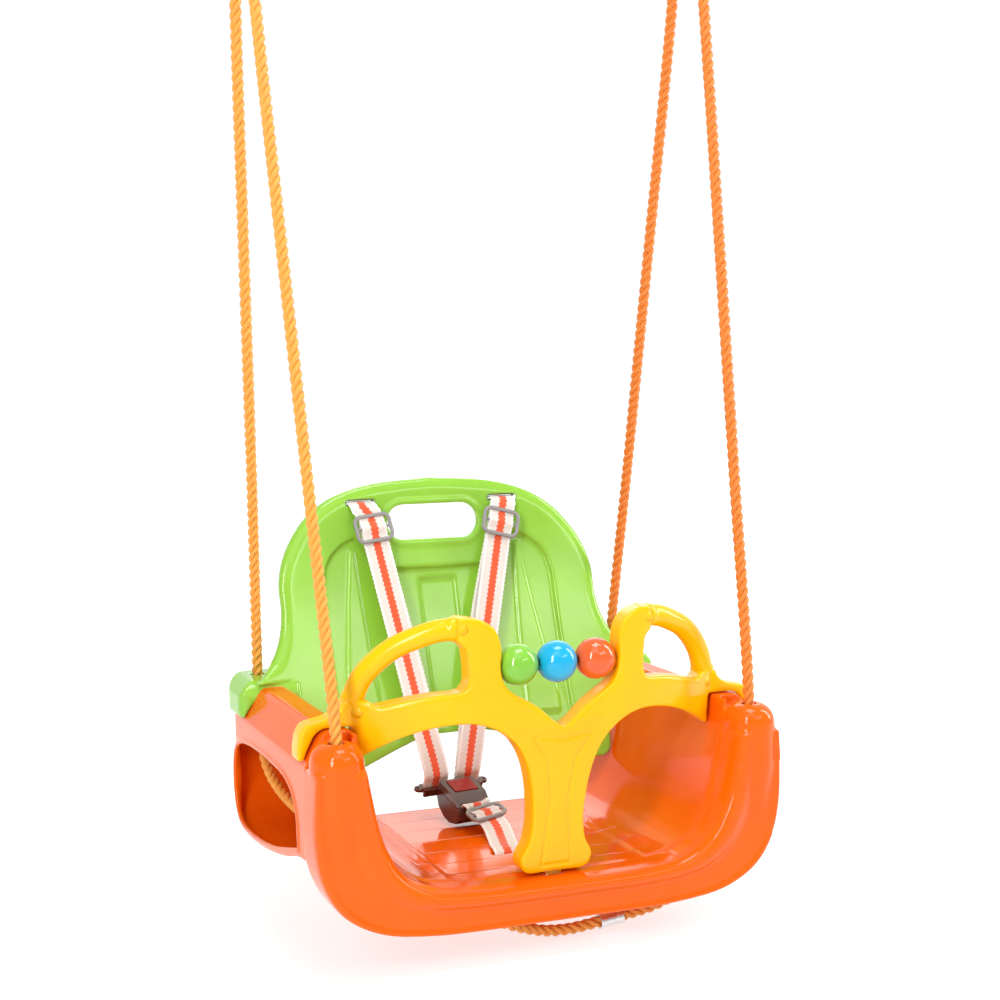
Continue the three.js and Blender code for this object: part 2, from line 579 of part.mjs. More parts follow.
for (const [name, side] of SIDES) {
  const ring = new THREE.TorusGeometry(RING.radius, RING.bar, 8, 28);
  ring.rotateX(Math.PI / 2);
  add(`${name}_hanging_ring`, ring, STEEL).position.set(side * HANG.x, HANG.y, HANG.z + RING.radius);
  add(`${name}_thimble`, thimble(), NYLON).position.set(side * HANG.x, HANG.y, HANG.z - THIMBLE.drop);
}

// ---------------------------------------------------------------- buckle
const buckle = new THREE.Group();
buckle.position.set(BUCKLE.x, BUCKLE.y, BUCKLE.z);
buckle.rotation.set(
  THREE.MathUtils.degToRad(BUCKLE.pitch), 0, THREE.MathUtils.degToRad(BUCKLE.yaw), 'ZYX');
group.add(buckle);
buckle.updateMatrix();
const fromBuckle = (x, y, z) => new THREE.Vector3(x, y, z).applyMatrix4(buckle.matrix);

const BUTTON = { x: 12.5, y: [0.5, 20.5], z: [7, 12.2], well: 4.6 };
const CHANNEL = { y: 4, half: 2 };

function buckleHousing() {
  let body = solid(extrudeX(polygon(BUCKLE_SIDE), -BUCKLE_HALF, BUCKLE_HALF));
  const { x, y, well } = BUTTON;
  body = body.subtract(solid(box(-x - GAP, x + GAP, y[0] - GAP, y[1] + GAP, well, 20)));
  body = body.subtract(solid(cylinderZ(0, 10.5, 4, -6, 10, 16)));
  for (const [, side] of SIDES) {
    const channel = box(TONGUE.inner - GAP, TONGUE.blade + GAP, CHANNEL.y, 30, -CHANNEL.half, CHANNEL.half);
    body = body.subtract(onSideSolid(solid(channel), side));
  }
  // the bar that the crotch strap is looped on, behind a slot in the front edge
  return body.subtract(solid(box(-13.5, 13.5, -16.4, -12.6, -30, 20)));
}
const housing = buckleHousing();
const upper = solid(box(-40, 40, -40, 40, 3.4, 40));
const lower = solid(box(-40, 40, -40, 40, -40, 3));
add('buckle_base', toGeometry(housing.intersect(lower)), BROWN, buckle);
add('buckle_cover', toGeometry(housing.intersect(upper)), SMOKE, buckle);
add('buckle_button', box(-BUTTON.x, BUTTON.x, ...BUTTON.y, ...BUTTON.z), DARK_RED, buckle);

class Helix extends THREE.Curve {
  constructor(radius, height, turns) {
    super();
    Object.assign(this, { radius, height, turns });
  }

  getPoint(t, target = new THREE.Vector3()) {
    const a = 2 * Math.PI * this.turns * t;
    return target.set(this.radius * Math.cos(a), this.radius * Math.sin(a), this.height * (t - 0.5));
  }
}
const spring = add('button_spring', tubeAlong(new Helix(2.7, 11.2, 3), 0.4, 5, 30), STEEL, buckle);
spring.position.set(0, 10.5, 0.3);

for (const [name, side] of SIDES) {
  const { x, half, thick, inner, blade, ear } = TONGUE;
  let tongue = solid(box(inner, blade, CHANNEL.y + 1, 26, -thick / 2, thick / 2));
  tongue = tongue.add(solid(box(x - half, x + half, 24.8, 38, -thick / 2, thick / 2)));
  tongue = tongue.add(solid(box(x - half, x + half, 24.8, 27.6, -6, thick / 2)));
  tongue = tongue.add(solid(cylinderZ(x + half + 3, 31.5, ear / 2, -thick / 2, thick / 2, 20)));
  tongue = tongue.subtract(solid(box(x - 13.2, x + 13.2, 30, 34, -10, 10)));
  tongue = tongue.subtract(solid(cylinderZ(x + half + 4.2, 31.5, 1.4, -10, 10, 12)));
  add(`${name}_tongue`, toGeometry(onSideSolid(tongue, side)), BROWN, buckle);
}

// ---------------------------------------------------------------- webbing
// A flat strap: at each station a centre, the direction of its width and the direction of its face.
function strap(stations, thick) {
  const curve = new THREE.CatmullRomCurve3(stations.map((s) => s.at));
  const n = stations.length;
  return loft(stations.map((s, k) => {
    const tangent = curve.getTangent(k / (n - 1));
    const across = s.across.clone().addScaledVector(tangent, -s.across.dot(tangent)).normalize();
    const face = new THREE.Vector3().crossVectors(tangent, across).normalize();
    return [[1, 1], [-1, 1], [-1, -1], [1, -1]].map(([a, b]) => s.at.clone()
      .addScaledVector(across, a * WEB.half).addScaledVector(face, (b * thick) / 2).toArray());
  }));
}
const X = new THREE.Vector3(1, 0, 0);
const station = (at, across = X) => ({ at, across });
const v3 = (x, y, z) => new THREE.Vector3(x, y, z);

const bar = (half, depth, thick) => toGeometry(solid(box(-half, half, -thick, 0, -depth, depth))
  .subtract(solid(box(-13.2, 13.2, -10, 10, -1.8, 1.8))));

// The tri-glide: two rails in front of the strap, one bar behind it, and a leg on each side.
function triGlide(gap, height = ADJUSTER.height) {
  const { half, thick, bar: rail } = ADJUSTER;
  const h = height / 2;
  let g = solid(box(-half, half, -gap / 2 - thick + 1, -gap / 2, h - rail, h));
  g = g.add(solid(box(-half, half, -gap / 2 - thick + 1, -gap / 2, -h, rail - h)));
  g = g.add(solid(box(-half, half, gap / 2, gap / 2 + thick - 1, -rail / 2, rail / 2)));
  for (const [, side] of SIDES) {
    const leg = box(13.8, half, -gap / 2 - thick + 1, gap / 2 + thick - 1, -h, h);
    g = g.add(onSideSolid(solid(leg), side));
  }
  return toGeometry(g);
}

// Turns a piece made in the XZ plane so that its Z runs along the strap and its X across it.
function place(mesh, at, alongStrap, across) {
  const z = alongStrap.clone().normalize();
  const x = across.clone().addScaledVector(z, -across.dot(z)).normalize();
  mesh.quaternion.setFromRotationMatrix(
    new THREE.Matrix4().makeBasis(x, new THREE.Vector3().crossVectors(z, x), z));
  mesh.position.copy(at);
}

const STRAP_THICK = 2 * WEB.thick;
const buckleX = fromBuckle(1, 0, 0).sub(fromBuckle(0, 0, 0));
for (const [name, side] of SIDES) {
  const slot = (z) => fromBuckle(side * TONGUE.x, 32, z);
  const top = (dx, y, dz) => v3(side * (STRAP_SLOT.x - dx), y, STRAP_SLOT.z + dz);
  const glide = top(8, 129.5, -25);
  const end = slot(13);
  const between = (k) => glide.clone().lerp(end, k);
  const down = end.clone().sub(glide).normalize();
  const turn = (k) => X.clone().lerp(buckleX, k);
  const stations = [station(top(0, 160, 0)), station(top(0, 150, 0)), station(top(0, 142.5, -0.2)),
    station(top(0.6, 138.4, -3.4)), station(glide.clone().addScaledVector(down, -13)), station(glide),
    station(glide.clone().addScaledVector(down, 13)),
    ...[0.2, 0.4, 0.6, 0.8].map((k) => station(between(k), turn(k))),
    station(end, buckleX), station(slot(6), buckleX), station(slot(-5), buckleX)];
  add(`${name}_shoulder_strap`, strap(stations, STRAP_THICK), WEBBING);
  const adjuster = add(`${name}_shoulder_adjuster`, triGlide(STRAP_THICK + 0.9), GREY_PLASTIC);
  place(adjuster, glide, down.clone().negate(), X);
  const anchor = add(`${name}_strap_anchor`, bar(16, 4.5, 3.5), GREY_PLASTIC);
  anchor.position.set(side * STRAP_SLOT.x, 149.6 + 3.5, STRAP_SLOT.z);
}

const crotchAcross = v3(1, -0.25, 0).normalize();
const { x: ax, y: ay } = CROTCH_ANCHOR;
const crotch = [station(fromBuckle(0, -14.5, -11), buckleX), station(fromBuckle(0, -14.5, 1), buckleX),
  station(fromBuckle(0, -15.4, 5.8), buckleX), station(fromBuckle(0, -19, 7.6), buckleX),
  station(v3(-8.4, -1.8, 59.6), crotchAcross), station(v3(-6.5, -13, 56.2), crotchAcross),
  station(v3(-4.8, -21, 53.8), crotchAcross), station(v3(-3.8, -34, 48.5), crotchAcross),
  station(v3(-5.5, -47, 43.6), crotchAcross), station(v3(-8.5, -60, 41.6)), station(v3(-12, -73, 41.6)),
  station(v3(ax, -80.8, 41)), station(v3(ax, ay, 38)), station(v3(ax, ay, 29))];
add('crotch_strap', strap(crotch, WEB.thick), WEBBING);
const crotchAdjuster = add('crotch_adjuster', triGlide(WEB.thick + 3.2, 16), GREY_PLASTIC);
place(crotchAdjuster, crotch[5].at, crotch[4].at.clone().sub(crotch[6].at), crotchAcross);
const crotchAnchor = add('crotch_strap_anchor', bar(19, 6, 3), GREY_PLASTIC);
crotchAnchor.rotation.x = Math.PI / 2;
crotchAnchor.position.set(ax, ay, FLOOR_TOP - WALL - GAP);

export default group;
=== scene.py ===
"""Looks for the toddler bucket swing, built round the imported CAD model."""
import math

import bmesh
import bpy
import numpy as np
from mathutils import Matrix, Vector


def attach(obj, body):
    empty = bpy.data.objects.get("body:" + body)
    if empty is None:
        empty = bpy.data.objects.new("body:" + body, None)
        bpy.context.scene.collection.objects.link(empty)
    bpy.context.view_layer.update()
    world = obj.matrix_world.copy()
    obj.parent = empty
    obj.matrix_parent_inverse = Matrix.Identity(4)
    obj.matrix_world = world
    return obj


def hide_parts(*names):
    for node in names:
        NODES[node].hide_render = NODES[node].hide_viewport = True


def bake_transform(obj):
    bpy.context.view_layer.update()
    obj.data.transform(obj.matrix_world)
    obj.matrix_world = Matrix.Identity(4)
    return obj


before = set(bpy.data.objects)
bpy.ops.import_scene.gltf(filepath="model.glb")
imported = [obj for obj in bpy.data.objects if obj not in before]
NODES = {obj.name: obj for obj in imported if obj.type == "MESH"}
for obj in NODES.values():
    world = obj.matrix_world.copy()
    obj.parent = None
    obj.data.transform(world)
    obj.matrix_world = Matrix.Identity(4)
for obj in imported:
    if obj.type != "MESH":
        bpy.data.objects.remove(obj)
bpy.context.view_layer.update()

# Shapes are worked out in millimetres, with z = 0 at the lowest edge of the seat's lip. ORIGIN is the
# frame's origin in those coordinates.
ORIGIN = np.array([0.0, 3.4, 871.5])
SIDES = (("left", -1), ("right", 1))


def row(p):
    """Millimetres of the drawing to metres of the row frame."""
    return (np.asarray(p, float) - ORIGIN) / 1000.0


# ---- camera
def make_camera():
    data = bpy.data.cameras.new("camera")
    data.lens, data.sensor_width = 62.49, 36.0
    data.shift_x, data.shift_y = -0.0123, 0.0836
    data.clip_start, data.clip_end = 0.05, 50
    yaw, pitch, roll = (math.radians(a) for a in (22.222, -7.452, -0.604))
    level = math.cos(pitch)
    forward = Vector((math.sin(yaw) * level, math.cos(yaw) * level, math.sin(pitch)))
    right0 = Vector((math.cos(yaw), -math.sin(yaw), 0))
    up0 = right0.cross(forward)
    right = right0 * math.cos(roll) + up0 * math.sin(roll)
    up = up0 * math.cos(roll) - right0 * math.sin(roll)
    turn = Matrix((right, up, -forward)).transposed().to_4x4()
    cam = bpy.data.objects.new("camera", data)
    cam.matrix_world = Matrix.Translation((-0.59027, -1.51721, -0.38320)) @ turn
    bpy.context.scene.collection.objects.link(cam)
    bpy.context.scene.camera = cam


make_camera()


# ---- curves and tables
def catmull(points, per=8):
    """Centripetal Catmull-Rom through the points, `per` steps a span. Works on rows of any width."""
    p = np.asarray(points, float)
    ext = np.vstack([2 * p[0] - p[1], p, 2 * p[-1] - p[-2]])
    out = []
    t = np.linspace(0, 1, per, endpoint=False)[:, None]
    for i in range(len(p) - 1):
        a, b, c, d = ext[i:i + 4]
        s0, s1, s2 = (max(np.linalg.norm(v), 1e-6) ** 0.5 for v in (b - a, c - b, d - c))
        m1 = ((b - a) / s0 - (c - a) / (s0 + s1) + (c - b) / s1) * s1
        m2 = ((c - b) / s1 - (d - b) / (s1 + s2) + (d - c) / s2) * s1
        out.append(b + m1 * t + (-3 * b + 3 * c - 2 * m1 - m2) * t ** 2 + (2 * b - 2 * c + m1 + m2) * t ** 3)
    out.append(p[-1:])
    return np.vstack(out)


def spaced(points, n):
    """n + 1 points at even steps along a polyline."""
    p = np.asarray(points, float)
    d = np.concatenate([[0], np.cumsum(np.linalg.norm(np.diff(p, axis=0), axis=1))])
    s = np.linspace(0, d[-1], n + 1)
    return np.stack([np.interp(s, d, p[:, k]) for k in range(p.shape[1])], axis=1)


def smooth(points, n):
    return spaced(catmull(points, 24), n)


def unit(rows):
    return rows / np.linalg.norm(rows, axis=1)[:, None]


def full_turn(n):
    return np.linspace(0, 2 * math.pi, n, endpoint=False)


def along(table, t):
    table = np.asarray(table, float)
    return np.interp(t, table[:, 0], table[:, 1])


def mirrored(half):
    """A half outline in x >= 0, completed by its mirror image."""
    half = [tuple(p) for p in half]
    return half + [(-x, z) for x, z in reversed(half) if abs(x) > 1e-6]


def bump01(x):
    x = np.clip(x, 0, 1)
    return x * x * (3 - 2 * x)


# ---- meshes
def smooth_faces(o):
    o.data.polygons.foreach_set("use_smooth", [True] * len(o.data.polygons))


def make(name, verts, faces, keep=False):
    """A mesh object from millimetre vertices."""
    me = bpy.data.meshes.new(name)
    me.from_pydata([tuple(v) for v in row(verts)], [], [tuple(f) for f in faces])
    if not keep:
        bm = bmesh.new()
        bm.from_mesh(me)
        bmesh.ops.remove_doubles(bm, verts=bm.verts, dist=1e-7)
        bmesh.ops.recalc_face_normals(bm, faces=bm.faces)
        bm.to_mesh(me)
        bm.free()
    o = bpy.data.objects.new(name, me)
    smooth_faces(o)
    bpy.context.scene.collection.objects.link(o)
    return o


def prism(outline, lo, hi, axis, name="prism"):
    """An outline of pairs, extruded along an axis: y takes (x, z), x takes (y, z), z takes (x, y)."""
    order = {"x": (2, 0, 1), "y": (0, 2, 1), "z": (0, 1, 2)}[axis]
    n = len(outline)
    verts = [[(a, b, h)[k] for k in order] for h in (lo, hi) for a, b in outline]
    faces = [(i, (i + 1) % n, n + (i + 1) % n, n + i) for i in range(n)]
    faces += [tuple(range(n - 1, -1, -1)), tuple(range(n, 2 * n))]
    return make(name, verts, faces)


def block(x0, x1, y0, y1, z0, z1):
    return prism([(x0, y0), (x1, y0), (x1, y1), (x0, y1)], z0, z1, "z")


def rod_z(x, y, r, z0, z1, n=40):
    a = full_turn(n)
    return prism(list(zip(x + r * np.cos(a), y + r * np.sin(a))), z0, z1, "z")


def loft(loops, name="loft", closed=False):
    loops = [np.asarray(p, float) for p in loops]
    m, n = len(loops), len(loops[0])
    faces = []
    for i in range(m if closed else m - 1):
        for j in range(n):
            a, b = i * n + j, i * n + (j + 1) % n
            c, d = ((i + 1) % m) * n + (j + 1) % n, ((i + 1) % m) * n + j
            faces.append((a, b, c, d))
    if not closed:
        faces += [tuple(range(n - 1, -1, -1)), tuple((m - 1) * n + j for j in range(n))]
    return make(name, np.vstack(loops), faces)


def lathe(profile, n, axis, closed=True):
    """Turns (radius, height) pairs round an axis. A closed profile makes a ring; an open one starts and
    ends on the axis."""
    profile = np.asarray(profile, float)
    turns = full_turn(n)
    put = {"x": lambda r, h, a: (h, r * math.cos(a), r * math.sin(a)),
           "y": lambda r, h, a: (r * math.cos(a), h, r * math.sin(a)),
           "z": lambda r, h, a: (r * math.cos(a), r * math.sin(a), h)}[axis]
    m = len(profile)
    verts = [put(r, h, a) for a in turns for r, h in profile]
    faces = []
    for i in range(n):
        for j in range(m if closed else m - 1):
            a, b = i * m + j, i * m + (j + 1) % m
            faces.append((a, b, ((i + 1) % n) * m + (j + 1) % m, ((i + 1) % n) * m + j))
    return np.array(verts), faces


def evaluated(o):
    """Applies every modifier of an object."""
    dg = bpy.context.evaluated_depsgraph_get()
    me = bpy.data.meshes.new_from_object(o.evaluated_get(dg))
    old = o.data
    o.modifiers.clear()
    o.data = me
    bpy.data.meshes.remove(old)
    return o


def cut(a, b, how="DIFFERENCE"):
    """a with b taken away, added or kept in common. b is used up."""
    m = a.modifiers.new("cut", "BOOLEAN")
    m.operation, m.solver, m.object = how, "MANIFOLD", b
    evaluated(a)
    bpy.data.objects.remove(b)
    return a


def join(a, *others):
    for b in others:
        cut(a, b, "UNION")
    return a


def copy(o):
    c = o.copy()
    c.data = o.data.copy()
    bpy.context.scene.collection.objects.link(c)
    return c


def mirror(o):
    c = copy(o)
    co = points_of(c)
    co[:, 0] = -co[:, 0]
    c.data.vertices.foreach_set("co", co.ravel())
    c.data.flip_normals()
    return c


def points_of(o):
    co = np.zeros(len(o.data.vertices) * 3)
    o.data.vertices.foreach_get("co", co)
    return co.reshape(-1, 3)


def bend(o, fn):
    """Moves every vertex by fn, which takes and gives millimetre columns x, y, z."""
    co = points_of(o) * 1000 + ORIGIN
    x, y, z = fn(co[:, 0], co[:, 1], co[:, 2])
    o.data.vertices.foreach_set("co", row(np.stack([x, y, z], axis=1)).ravel())
    o.data.update()
    return o


def remesh(o, voxel, relax=6, factor=0.5):
    """One even skin, with its edges softened as in a moulded part."""
    m = o.modifiers.new("remesh", "REMESH")
    m.mode, m.voxel_size, m.use_smooth_shade = "VOXEL", voxel / 1000, True
    if relax:
        s = o.modifiers.new("relax", "SMOOTH")
        s.factor, s.iterations = factor, relax
    evaluated(o)
    smooth_faces(o)
    return o


def dress(o, material, body, slot, *nodes):
    """Gives a piece its material and its body, and hides the CAD nodes it stands for. The slot argument is
    not used.
    """
    o.data.materials.clear()
    o.data.materials.append(material)
    if body:
        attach(o, body)
    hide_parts(*nodes)
    return o


def name_it(o, name):
    o.name = name
    o.data.name = name
    return o


# ---- material nodes
class Nodes:
    """Short calls for building a material's node tree."""

    def __init__(self, name):
        self.mat = bpy.data.materials.new(name)
        self.mat.use_nodes = True
        self.tree = self.mat.node_tree
        self.tree.nodes.clear()
        self.out = self.new("ShaderNodeOutputMaterial")
        self.shader = self.new("ShaderNodeBsdfPrincipled")
        self.link(self.shader.outputs[0], self.out.inputs["Surface"])
        self.place = self.new("ShaderNodeTexCoord").outputs["Object"]

    def new(self, kind, **values):
        n = self.tree.nodes.new(kind)
        for k, v in values.items():
            setattr(n, k, v)
        return n

    def link(self, a, b):
        self.tree.links.new(a, b)

    def put(self, socket, value):
        if isinstance(value, bpy.types.NodeSocket):
            self.link(value, socket)
        else:
            socket.default_value = value

    def noise(self, scale, detail=4.0, rough=0.5, vector=None, distortion=0.0):
        n = self.new("ShaderNodeTexNoise")
        self.put(n.inputs["Vector"], vector or self.place)
        for k, v in (("Scale", scale), ("Detail", detail), ("Roughness", rough), ("Distortion", distortion)):
            n.inputs[k].default_value = v
        return n.outputs["Fac"]

    def math(self, op, a, b=0.0, c=0.0):
        n = self.new("ShaderNodeMath", operation=op)
        for i, v in enumerate((a, b, c)):
            self.put(n.inputs[i], v)
        return n.outputs[0]

    def ramp(self, value, lo, hi, out_lo=0.0, out_hi=1.0):
        n = self.new("ShaderNodeMapRange")
        keys = ("Value", "From Min", "From Max", "To Min", "To Max")
        for k, v in zip(keys, (value, lo, hi, out_lo, out_hi)):
            self.put(n.inputs[k], v)
        return n.outputs[0]

    def mix(self, factor, a, b):
        n = self.new("ShaderNodeMix", data_type="RGBA")
        self.put(n.inputs["Factor"], factor)
        for key, v in (("A", a), ("B", b)):
            socket = [s for s in n.inputs if s.name == key and s.type == "RGBA"][0]
            self.put(socket, tuple(v) + (1,) if isinstance(v, (tuple, list)) and len(v) == 3 else v)
        return [s for s in n.outputs if s.type == "RGBA"][0]

    def bump(self, height, distance, strength=1.0, normal=None):
        n = self.new("ShaderNodeBump")
        n.inputs["Strength"].default_value = strength
        n.inputs["Distance"].default_value = distance
        self.put(n.inputs["Height"], height)
        if normal is not None:
            self.link(normal, n.inputs["Normal"])
        return n.outputs[0]

    def split(self, vector):
        """The x, y and z of a vector."""
        n = self.new("ShaderNodeSeparateXYZ")
        self.link(vector, n.inputs[0])
        return n.outputs

    def stretched(self, vector, scale, turn=(0, 0, 0)):
        n = self.new("ShaderNodeMapping")
        self.link(vector, n.inputs["Vector"])
        n.inputs["Scale"].default_value = scale
        n.inputs["Rotation"].default_value = turn
        return n.outputs[0]

    def set(self, **values):
        """Sets the shader's sockets, with _ for each space in a socket's name."""
        for k, v in values.items():
            self.put(self.shader.inputs[k.replace("_", " ")], v)
        return self.mat


def shade(rgb, factor):
    return tuple(min(1.0, c * factor) for c in rgb)


def plastic(name, rgb, rough, spec, sub=0.0, scuff=0.35):
    """Moulded plastic: flow streaks in its colour, orange peel, hairline scuffs and rubbed edges."""
    m = Nodes(name)
    flow = m.noise(9, 3, 0.55, distortion=0.6)
    speck = m.noise(900, 2, 0.6)
    worn = m.new("ShaderNodeNewGeometry").outputs["Pointiness"]
    edge = m.math("MULTIPLY", m.ramp(worn, 0.53, 0.62), m.ramp(m.noise(60, 5, 0.7), 0.45, 0.7))
    base = m.mix(m.ramp(flow, 0.35, 0.65), shade(rgb, 0.95), shade(rgb, 1.05))
    base = m.mix(m.math("MULTIPLY", m.ramp(speck, 0.62, 0.8), 0.15), base, shade(rgb, 0.8))
    base = m.mix(m.math("MULTIPLY", edge, 0.22), base, tuple(0.75 * c + 0.25 for c in rgb))
    hair = m.noise(140, 3, 0.75, m.stretched(m.place, (1.0, 9.0, 5.0), (0.4, 0.7, 0.3)))
    fine = m.math("MULTIPLY", m.ramp(hair, 0.60, 0.72), scuff)
    roughness = m.math("ADD", m.ramp(m.noise(35, 4, 0.6), 0.3, 0.7, rough - 0.03, rough + 0.05),
                       m.math("ADD", m.math("MULTIPLY", fine, 0.10), m.math("MULTIPLY", edge, 0.12)))
    peel = m.bump(m.noise(420, 2, 0.5), 0.00006)
    m.set(Base_Color=base, Roughness=roughness, Normal=m.bump(hair, 0.00003, 0.3, peel), IOR=1.49,
          Specular_IOR_Level=spec)
    if sub:
        m.set(Subsurface_Weight=sub, Subsurface_Radius=(1.0, 0.45, 0.2), Subsurface_Scale=0.004)
    return m.mat


def metal(name, rgb, rough):
    """Metal with fine brushed lines and a cloudy stain."""
    m = Nodes(name)
    grain = m.noise(500, 3, 0.6, m.stretched(m.place, (1.0, 1.0, 14.0)))
    stain = m.noise(120, 5, 0.65)
    m.set(Base_Color=m.mix(m.ramp(stain, 0.3, 0.75), shade(rgb, 0.82), rgb), Metallic=1.0,
          Roughness=m.ramp(stain, 0.3, 0.7, rough - 0.06, rough + 0.12),
          Normal=m.bump(grain, 0.00004, 0.3))
    return m.mat


ORANGE = plastic("orange_moulding", (0.82, 0.118, 0.002), 0.08, 0.27, sub=0.05)
GREEN = plastic("green_moulding", (0.265, 0.56, 0.05), 0.12, 0.45, sub=0.05)
YELLOW = plastic("yellow_moulding", (0.99, 0.50, 0.001), 0.18, 0.32, sub=0.05)
BEAD_GREEN = plastic("green_bead_plastic", (0.22, 0.55, 0.05), 0.09, 0.6, scuff=0.15)
BEAD_BLUE = plastic("blue_bead_plastic", (0.006, 0.40, 0.70), 0.09, 0.6, scuff=0.15)
BEAD_RED = plastic("red_bead_plastic", (0.80, 0.11, 0.02), 0.09, 0.6, scuff=0.15)
BROWN = plastic("brown_nylon", (0.085, 0.022, 0.013), 0.22, 0.55)
SMOKE = plastic("smoke_nylon", (0.13, 0.10, 0.092), 0.18, 0.6)
RED_KEY = plastic("dark_red_nylon", (0.30, 0.014, 0.012), 0.25, 0.5)
GREY = plastic("grey_acetal", (0.27, 0.26, 0.255), 0.3, 0.5)
NYLON = plastic("white_nylon", (0.80, 0.77, 0.70), 0.4, 0.4)
STEEL = metal("zinc_steel", (0.62, 0.63, 0.65), 0.28)
CRIMP = metal("crimp_aluminium", (0.86, 0.87, 0.89), 0.3)
DARK_PIN = metal("dark_pin", (0.16, 0.16, 0.17), 0.35)

# ---- rope
# the strands' furthest points reach past 5 mm, so that the rope's mean width in a view is 10 mm
ROPE_REACH, LAY = 5.0 * 1.09, 26.0
ROUTE_RIGHT = [
    (80, -144.5, -13), (98, -145.5, -9.8), (116, -146.2, -4.2), (132, -146.8, 3.5),
    (147, -147.6, 13), (161, -149.3, 24.5), (173, -151.8, 39), (183, -155, 60), (190, -157.5, 88),
    (194, -158.6, 125), (194.9, -157.7, 176), (201.7, -116, 385), (208.7, -73, 600), (214, -39, 770),
    (216, -18.2, 873.3), (216, -13, 883.6), (216, -4, 889.7), (216, 6, 890.8), (216, 16.5, 886.7),
    (216, 23.3, 878.5), (216, 25.2, 872.2), (213, 40, 770), (206, 65.5, 595), (197.5, 96, 382),
    (190, 126.3, 180), (189.8, 126, 152), (189.3, 123.5, 126), (188, 116, 104), (186, 102, 89),
    (183, 83, 79), (179.5, 62, 72), (175, 41, 66.5), (168.5, 22, 60), (161, 7, 50), (153, -1, 37),
    (141, -4, 27.5), (120, -5, 22.5), (80, -5, 20.5), (30, -5, 20)]
ROUTE_MIDDLE = [(42, -144, -17.8), (20, -143.6, -19.8), (-3, -143.4, -18.2), (-25, -143.6, -12.2),
                (-46, -144, -4), (-68, -144.6, 3), (-94, -145.6, 7), (-120, -146.5, 8.4)]
FERRULE_MID = (61.0, -144.2, -15.35)


def rope_line():
    left = [(-x, y, z) for x, y, z in ROUTE_RIGHT[5:]][::-1]
    ends = [(FERRULE_MID[0] + d, FERRULE_MID[1], FERRULE_MID[2]) for d in (0.6, -0.6)]
    points = [ends[0], *ROUTE_RIGHT, *left, *ROUTE_MIDDLE[::-1], ends[1]]
    return catmull(points, 24)


def moving_frame(line):
    """Tangent and two cross directions at every point, turning as little as possible."""
    t = np.gradient(line, axis=0)
    t = unit(t)
    n = np.zeros_like(t)
    start = np.cross(t[0], (0, 0, 1.0))
    n[0] = start / np.linalg.norm(start)
    for i in range(1, len(t)):
        v = n[i - 1] - t[i] * (n[i - 1] @ t[i])
        n[i] = v / np.linalg.norm(v)
    return t, n, np.cross(t, n)


def uv_tube(o, name, u, v):
    """Writes a UV map from one value per vertex, mending the seam where u wraps."""
    me = o.data
    loops = np.zeros(len(me.loops), int)
    me.loops.foreach_get("vertex_index", loops)
    uu, vv = u[loops].copy(), v[loops]
    starts = np.array([p.loop_start for p in me.polygons])
    sizes = np.array([p.loop_total for p in me.polygons])
    face_of = np.repeat(np.arange(len(starts)), sizes)
    top = np.maximum.reduceat(uu, starts)[face_of]
    uu[(top - uu) > 0.5] += 1.0
    layer = me.uv_layers.new(name=name)
    layer.data.foreach_set("uv", np.stack([uu, vv], axis=1).ravel())


def laid_rope(name, line, radius, lay, sides=9, step=1.7):
    """Three strands laid right-handed round the line."""
    length = np.linalg.norm(np.diff(line, axis=0), axis=1).sum()
    line = spaced(line, int(length / step))
    _, n, b = moving_frame(line)
    s = np.linspace(0, length, len(line))
    wobble = 0.12 * np.sin(s / 61) + 0.08 * np.sin(s / 23 + 1)
    strand = radius * 0.53
    verts, faces, us, vs = [], [], [], []
    for k in range(3):
        turn = 2 * math.pi * (s / lay + k / 3) + wobble
        centre = line + (radius - strand) * (n * np.cos(turn)[:, None] + b * np.sin(turn)[:, None])
        base = k * len(line) * sides
        for j in range(sides):
            a = turn + 2 * math.pi * j / sides
            verts.append(centre + strand * (n * np.cos(a)[:, None] + b * np.sin(a)[:, None]))
            us.append(np.full(len(line), j / sides))
            vs.append(s / 1000)
        m = len(line)
        for j in range(sides):
            p, q = base + j * m, base + ((j + 1) % sides) * m
            faces += [(p + i, q + i, q + i + 1, p + i + 1) for i in range(m - 1)]
        faces.append(tuple(base + j * m for j in range(sides - 1, -1, -1)))
        faces.append(tuple(base + j * m + m - 1 for j in range(sides)))
    o = make(name, np.vstack(verts), faces, keep=True)
    uv_tube(o, "yarn", np.concatenate(us), np.concatenate(vs))
    return o, line, length / 1000


